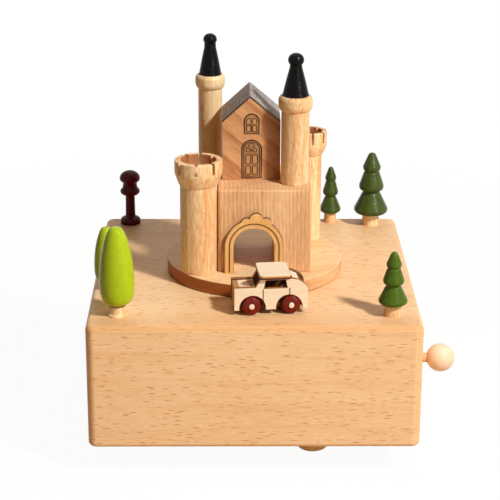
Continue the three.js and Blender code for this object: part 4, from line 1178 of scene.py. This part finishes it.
car_side("car_side_left", 1)
car_side("car_side_right", -1)
body = dress("car_body", car_body_wood, edge=0.12)
oval = [(OVAL_X + reach * math.cos(math.radians(a)), 0.3 + wide * math.sin(math.radians(a)))
        for reach, wide, angles in ((4.2, 2.9, range(-86, 87, 6)), (3.4, 2.2, range(84, -85, -6)))
        for a in angles]
on_bonnet = CAR @ Matrix.Translation((0, 0, BONNET_TOP))
body.data = carve(body.data, [groove([(oval, True)], CAR_CUT, on_bonnet, car_body_wood)])
shade(body)
ROOF_PLAN, ROOF_UNDER, ROOF_OVER = (-6.75, 4.1, -6.9, 6.9, 1.4), 13.1, 14.75
roof_board = board(rectangle(*ROOF_PLAN), ROOF_UNDER, ROOF_OVER, "Z", CAR)
finished("car_roof", roof_board, car_roof_wood, edge=0.28, segments=3)
print("car body made")

# %% [markdown]
# ## Repeated parts
# Four feet, four screws and two wheels on each axle are one shape set on several points.
# Geometry Nodes puts an instance on each point and turns the result into one mesh, so
# that the two wheels of an axle roll together. Loose copies would each need a body and
# a finish of their own.

# %% Instances on points
REPEAT = Group("repeat", Piece="Object", Turn="Float")
REPEAT.end(REPEAT.node("InstanceOnPoints", {}, {
    "Points": REPEAT.node("MeshToPoints", {}, {"Mesh": REPEAT.given("Geometry")}),
    "Instance": REPEAT.node("ObjectInfo", {}, {"Object": REPEAT.given("Piece")}, "Geometry"),
    "Rotation": REPEAT.node("ShaderNodeCombineXYZ", {}, {"Z": REPEAT.given("Turn")})}))


def repeat(name, pattern, places, material, nodes, turn=0.0):
    """One piece made of copies of a pattern mesh; it stands for several CAD nodes."""
    host = bpy.data.meshes.new(name)
    host.from_pydata([Vector(p) * MM for p in places], [], [])
    tool, obj = linked("pattern", pattern), linked(name, host)
    REPEAT.run(obj, Piece=tool, Turn=turn, Finish=material)
    bpy.data.objects.remove(tool)
    enlist(shade(obj, weighted=False), *nodes)


print("repeat:", [item.name for item in REPEAT.tree.interface.items_tree])

# %% [markdown]
# ## Wheels, axles and feet
# A wheel is a lacquered bead with a hole, slid over the pale end of an axle. The feet are
# soft black buttons. All of them are turned profiles, so they go through the tree above
# instead of being copied by hand.

# %% Wheels, axles and feet
wheel_red = lacquer("wheel_red", (128, 24, 7), (90, 10, 4), rough=0.14, streaks=0.6, grain=0.02,
                    specular=0.22)
axle_wood = pale_board("axle_wood", turn=(0, 0, math.radians(90) - CAR_TURN))
TRACK, AXLE_RADIUS, AXLE_HALF = 4.75, 0.95, 7.05
wheel = lathe(flowing([
    (1.02, -1.7), (1.02, -1.7), (2.3, -1.7), (3.2, -1.25), (3.45, 0), (3.2, 1.25), (2.3, 1.7),
    (1.02, 1.7)]), (0, 0, 0), 56, "Y")
axle = rounded(rod(AXLE_RADIUS, -AXLE_HALF, AXLE_HALF), [0, 0.4, 0.4, 0], 5)
for end, x in (("front", FRONT_AXLE), ("rear", REAR_AXLE)):
    repeat(f"wheels_{end}", wheel, [CAR @ Vector((x, y, AXLE_Z)) for y in (TRACK, -TRACK)],
           wheel_red, (f"wheel_{end}_left", f"wheel_{end}_right"), CAR_TURN)
    repeat(f"axle_{end}_look", lathe(axle, (0, 0, 0), 32, "Y"), [CAR @ Vector((x, 0, AXLE_Z))],
           axle_wood, (f"axle_{end}",), CAR_TURN)

rubber = lacquer("rubber_feet", (34, 33, 32), (22, 21, 21), rough=0.82, grain=0.12,
                 specular=0.3, scale=(1.5, 1.5, 1.5))
FEET = [f"foot_{i}" for i in (1, 2, 3, 4)]
foot = rounded([(0, 0.5), (2.2, 0.5), (2.6, 0), (4.4, 0), (5.1, 0.9), (6, BOX_LOW), (0, BOX_LOW)],
               [0, 0.3, 0.3, 0.9, 0.4, 0.2, 0])
repeat("feet", lathe(foot, (0, 0, 0), 56), [(*middle(n)[:2], 0) for n in FEET], rubber, FEET)
print("wheels and feet placed")

# %% [markdown]
# ## Knobs
# The stop knob is a bead on a rod, the winding knob a larger round one under the box. A
# sphere primitive would do for the bead, but its poles would lie across the grain; a
# turned half circle puts them on the rod, where the drill enters.

# %% Knobs
bead_wood = wood("bead_wood", (250, 226, 196), (240, 202, 160), (220, 172, 124),
                 centre=STOP_AT, pith=(14, 20), ring=1.8, ring_depth=0.2, flecks=0.2,
                 fleck_cell=(2.5, 0.8, 0.8), rough=0.4, fibre=0.25)
BALL, ROD_RADIUS = 5, 1.75
ball = [(BALL * math.sin(math.radians(a)), -BALL * math.cos(math.radians(a)))
        for a in range(24, 181, 6)]
socket_low = ball[0][1] + 0.1
turned_piece("stop_knob", [(0, socket_low), (ROD_RADIUS, socket_low), *ball[:-1], (0, BALL)],
             STOP_AT, bead_wood, 64, "X")
KEY_X, KEY_Y, _, _ = middle("winding_knob")
knob_wood = wood("knob_wood", (255, 214, 122), (252, 172, 90), (206, 124, 60), turn=ALONG_Z,
                 centre=(KEY_X, KEY_Y, 5), pith=(20, 30), ring=1.6, ring_depth=0.4, flecks=0.3,
                 rough=0.45)
knob = flowing([(0.3, 0.2), (3.6, 0.3), (5.6, 1.2), (6.25, 3.2), (6.2, 6.2), (5.6, 8.2),
                (4.1, 9.2), (0.3, 9.2)], 6)
turned_piece("winding_knob", [(0, 0.2), *knob, (0, 9.2)], (KEY_X, KEY_Y, 0), knob_wood)
print("knobs turned")

# %% [markdown]
# ## Plywood and metal
# The bottom plate is plywood: its cut edges show layers that run crosswise by turns, so
# height alone picks the colour. Metal has no colour pattern of its own worth drawing.
# What tells steel from brass or zinc is tint, roughness and the direction of brushing.

# %% Plywood and metal
PLY = 1.6


def ply_edges(s, painted):
    """The cut edges of plywood show its layers, crossed by turns."""
    layer = (s.parts(s.millimetres())[2] / PLY).fraction()
    stripe = s.within(layer, 0.45, 0.55, 0.9, 1.0)
    layered = s.mix(stripe, (226, 196, 148), (160, 112, 66))
    return s.mix(s.smooth(abs(s.parts(s.facing)[2]), 0.6, 0.3), painted, layered)


def metal(name, base, deep, rough, brushed=(0.3, 3.0, 3.0), depth=0.01):
    s = Surface(name, Metallic=1.0, Roughness=rough)
    p = s.millimetres()
    lines = s.noise(s.stretched(p, brushed), detail=4.0, roughness=0.6)
    tarnish = s.noise(s.stretched(p, (0.15, 0.15, 0.15)), detail=4.0)
    s.use(Base_Color=s.mix(s.smooth(tarnish, 0.35, 0.7), base, deep),
          Roughness=rough + (lines - 0.5) * 0.3 + (tarnish - 0.5) * 0.2)
    s.relief(lines, depth)
    return s.material


plywood = wood("plywood", (232, 202, 158), (210, 174, 124), (176, 134, 86), pith=(20, 6),
               ring=2.6, flecks=0.3, rough=0.66, marks_and_painted_light=ply_edges)
steel = metal("steel", (200, 202, 204), (168, 168, 170), 0.3)
brass = metal("brass", (214, 176, 96), (186, 142, 70), 0.28, (2.5, 2.5, 0.4))
zinc = metal("zinc", (176, 178, 180), (150, 152, 154), 0.45, (1.2, 1.2, 1.2), 0.03)
nickel = metal("magnet", (196, 194, 188), (170, 168, 164), 0.2, (0.8, 0.8, 0.8))
nylon = lacquer("nylon", (236, 232, 220), (222, 216, 200), rough=0.42, grain=0.02)
print("a layer of plywood is", PLY, "mm")

# %% [markdown]
# ## The underside and the movement
# Four cross-head screws hold the plate. The spring movement is hidden inside the box, so
# its solids keep the meshes of the CAD model and only take a finish.

# %% Plate, screws and movement
SCREWS = [f"bottom_screw_{i}" for i in (1, 2, 3, 4)]
head = rounded([(0, 0), (2.2, 0), (2.2, 0.7), (1.2, 1.4), (1.2, 7.8), (0, 9)],
               [0, 0.35, 0.2, 0.2, 0.3, 0])
cross = [board(rectangle(-a, a, -b, b), -1, 0.7) for a, b in ((1.3, 0.28), (0.28, 1.3))]
dress("bottom_plate", plywood)
dress("magnet_arm", plywood)
repeat("screws", carve(lathe(head, (0, 0, 0), 32), cross),
       [(*middle(n)[:2], BOX_LOW) for n in SCREWS], steel, SCREWS, 0.4)
# Painted shade: the stop rod takes the darker gate wood, as it sits in shade where it enters the
# box.
dress("stop_rod", gate_wood, edge=0.15)
dress("spindle_bush", brass, edge=0.15)
for material, nodes in {
        steel: ("mainspring", "comb", "key_shaft", "spindle"),
        brass: ("spring_barrel", "pin_cylinder"),
        nylon: ("spindle_gear", "drive_gear", "governor_worm"),
        zinc: ("bedplate", "governor_frame"), nickel: ("arm_magnet",)}.items():
    for node in nodes:
        paint(frame["nodes"][node].data, material)
print("underside and movement finished")

# %% [markdown]
# ## Light
# A small lamp high on the right gives the form and a short shadow. A wide one overhead
# and one low on the right soften it. A sun lamp would be simpler, but its shadows keep
# one sharpness; a disc of real size gives shadows that soften with distance.

# %% Lamps
MIDDLE = Vector((0, 0, 0.05))
TO_KEY, KEY_AWAY, KEY_POWER = Vector((0.526, -0.499, 0.688)).normalized(), 1.3, 16.0


def soft_lamp(name, size, energy, at, tint=(1, 1, 1)):
    """A round lamp that shines from a point at the middle of the object."""
    data = bpy.data.lights.new(name, "AREA")
    data.shape, data.size, data.energy, data.color = "DISK", size, energy, tint
    obj = linked(name, data)
    obj.location = at
    obj.rotation_euler = (Vector(at) - MIDDLE).to_track_quat("Z", "Y").to_euler()


soft_lamp("key", size=0.15, energy=KEY_POWER, at=MIDDLE + TO_KEY * KEY_AWAY)
soft_lamp("overhead", size=1.0, energy=3.45, at=(0.0, 0.4, 1.25), tint=(1, 0.91, 0.84))
soft_lamp("low right", size=0.7, energy=2.85, at=(0.7, -0.95, 0.26), tint=(1, 0.99, 0.98))
print("a key of", KEY_POWER, "W")

# %% [markdown]
# ## World and floor
# A faint warm world and the bounce of a warm floor fill the shadows. To the camera, and
# in reflections, both are white, as in a product photograph, and the floor keeps a trace
# of the shadow so that the box stands on something. A white world alone would light the
# wood too evenly, so the kind of ray decides which of the two is met.

# %% World and floor
WHITE = (1, 1, 1, 1)
FILL, FILL_TINT, BOUNCE = 0.05, (1.0, 0.52, 0.25, 1), (0.62, 0.43, 0.27, 1)


def white_to_camera(tree, lit, shown, end):
    """Camera, glossy and clear rays meet the shown shader, all other rays the lit one."""
    camera_ray, glossy_ray, clear_ray = (tree.node("LightPath", output=f"Is {kind} Ray")
                                         for kind in ("Camera", "Glossy", "Transmission"))
    seen = camera_ray.at_least(glossy_ray).at_least(clear_ray)
    tree.feed(tree.tree.nodes[end].inputs[0],
              tree.node("MixShader", {}, {0: seen, 1: lit, 2: shown}))


world = bpy.data.worlds.new("studio")
bpy.context.scene.world = world
world.use_nodes = True
sky = Tree(world.node_tree)
fill = sky.tree.nodes["Background"]
sky.feed(fill.inputs["Color"], FILL_TINT)
sky.feed(fill.inputs["Strength"], FILL)
white_to_camera(sky, Value(sky, fill.outputs[0]), sky.node("Background", {}, {"Color": WHITE}),
                "World Output")

ground = Surface("floor", Base_Color=BOUNCE, Roughness=1.0, Specular_IOR_Level=0.0)
away = ground.node("VectorMath", {"operation": "LENGTH"}, {0: ground.place}, "Value")
fade = ground.node("MapRange", {"interpolation_type": "SMOOTHSTEP"}, {
    "Value": away, "From Min": 0.16, "From Max": 0.42, "To Min": 0.955, "To Max": 1.0})
nearly_white = ground.node("MixShader", {}, {
    0: fade, 1: ground.node("BsdfDiffuse", {}, {"Color": WHITE}), 2: ground.node("Emission")})
white_to_camera(ground, Value(ground, ground.shader.outputs[0]), nearly_white,
                "Material Output")
floor_mesh = bpy.data.meshes.new("floor")
floor_mesh.from_pydata([(-4, -4, 0), (4, -4, 0), (4, 4, 0), (-4, 4, 0)], [], [(0, 1, 2, 3)])
floor = linked("floor", floor_mesh)
paint(floor_mesh, ground.material)

bpy.context.scene.view_settings.view_transform = "Standard"
print("a fill of", FILL)
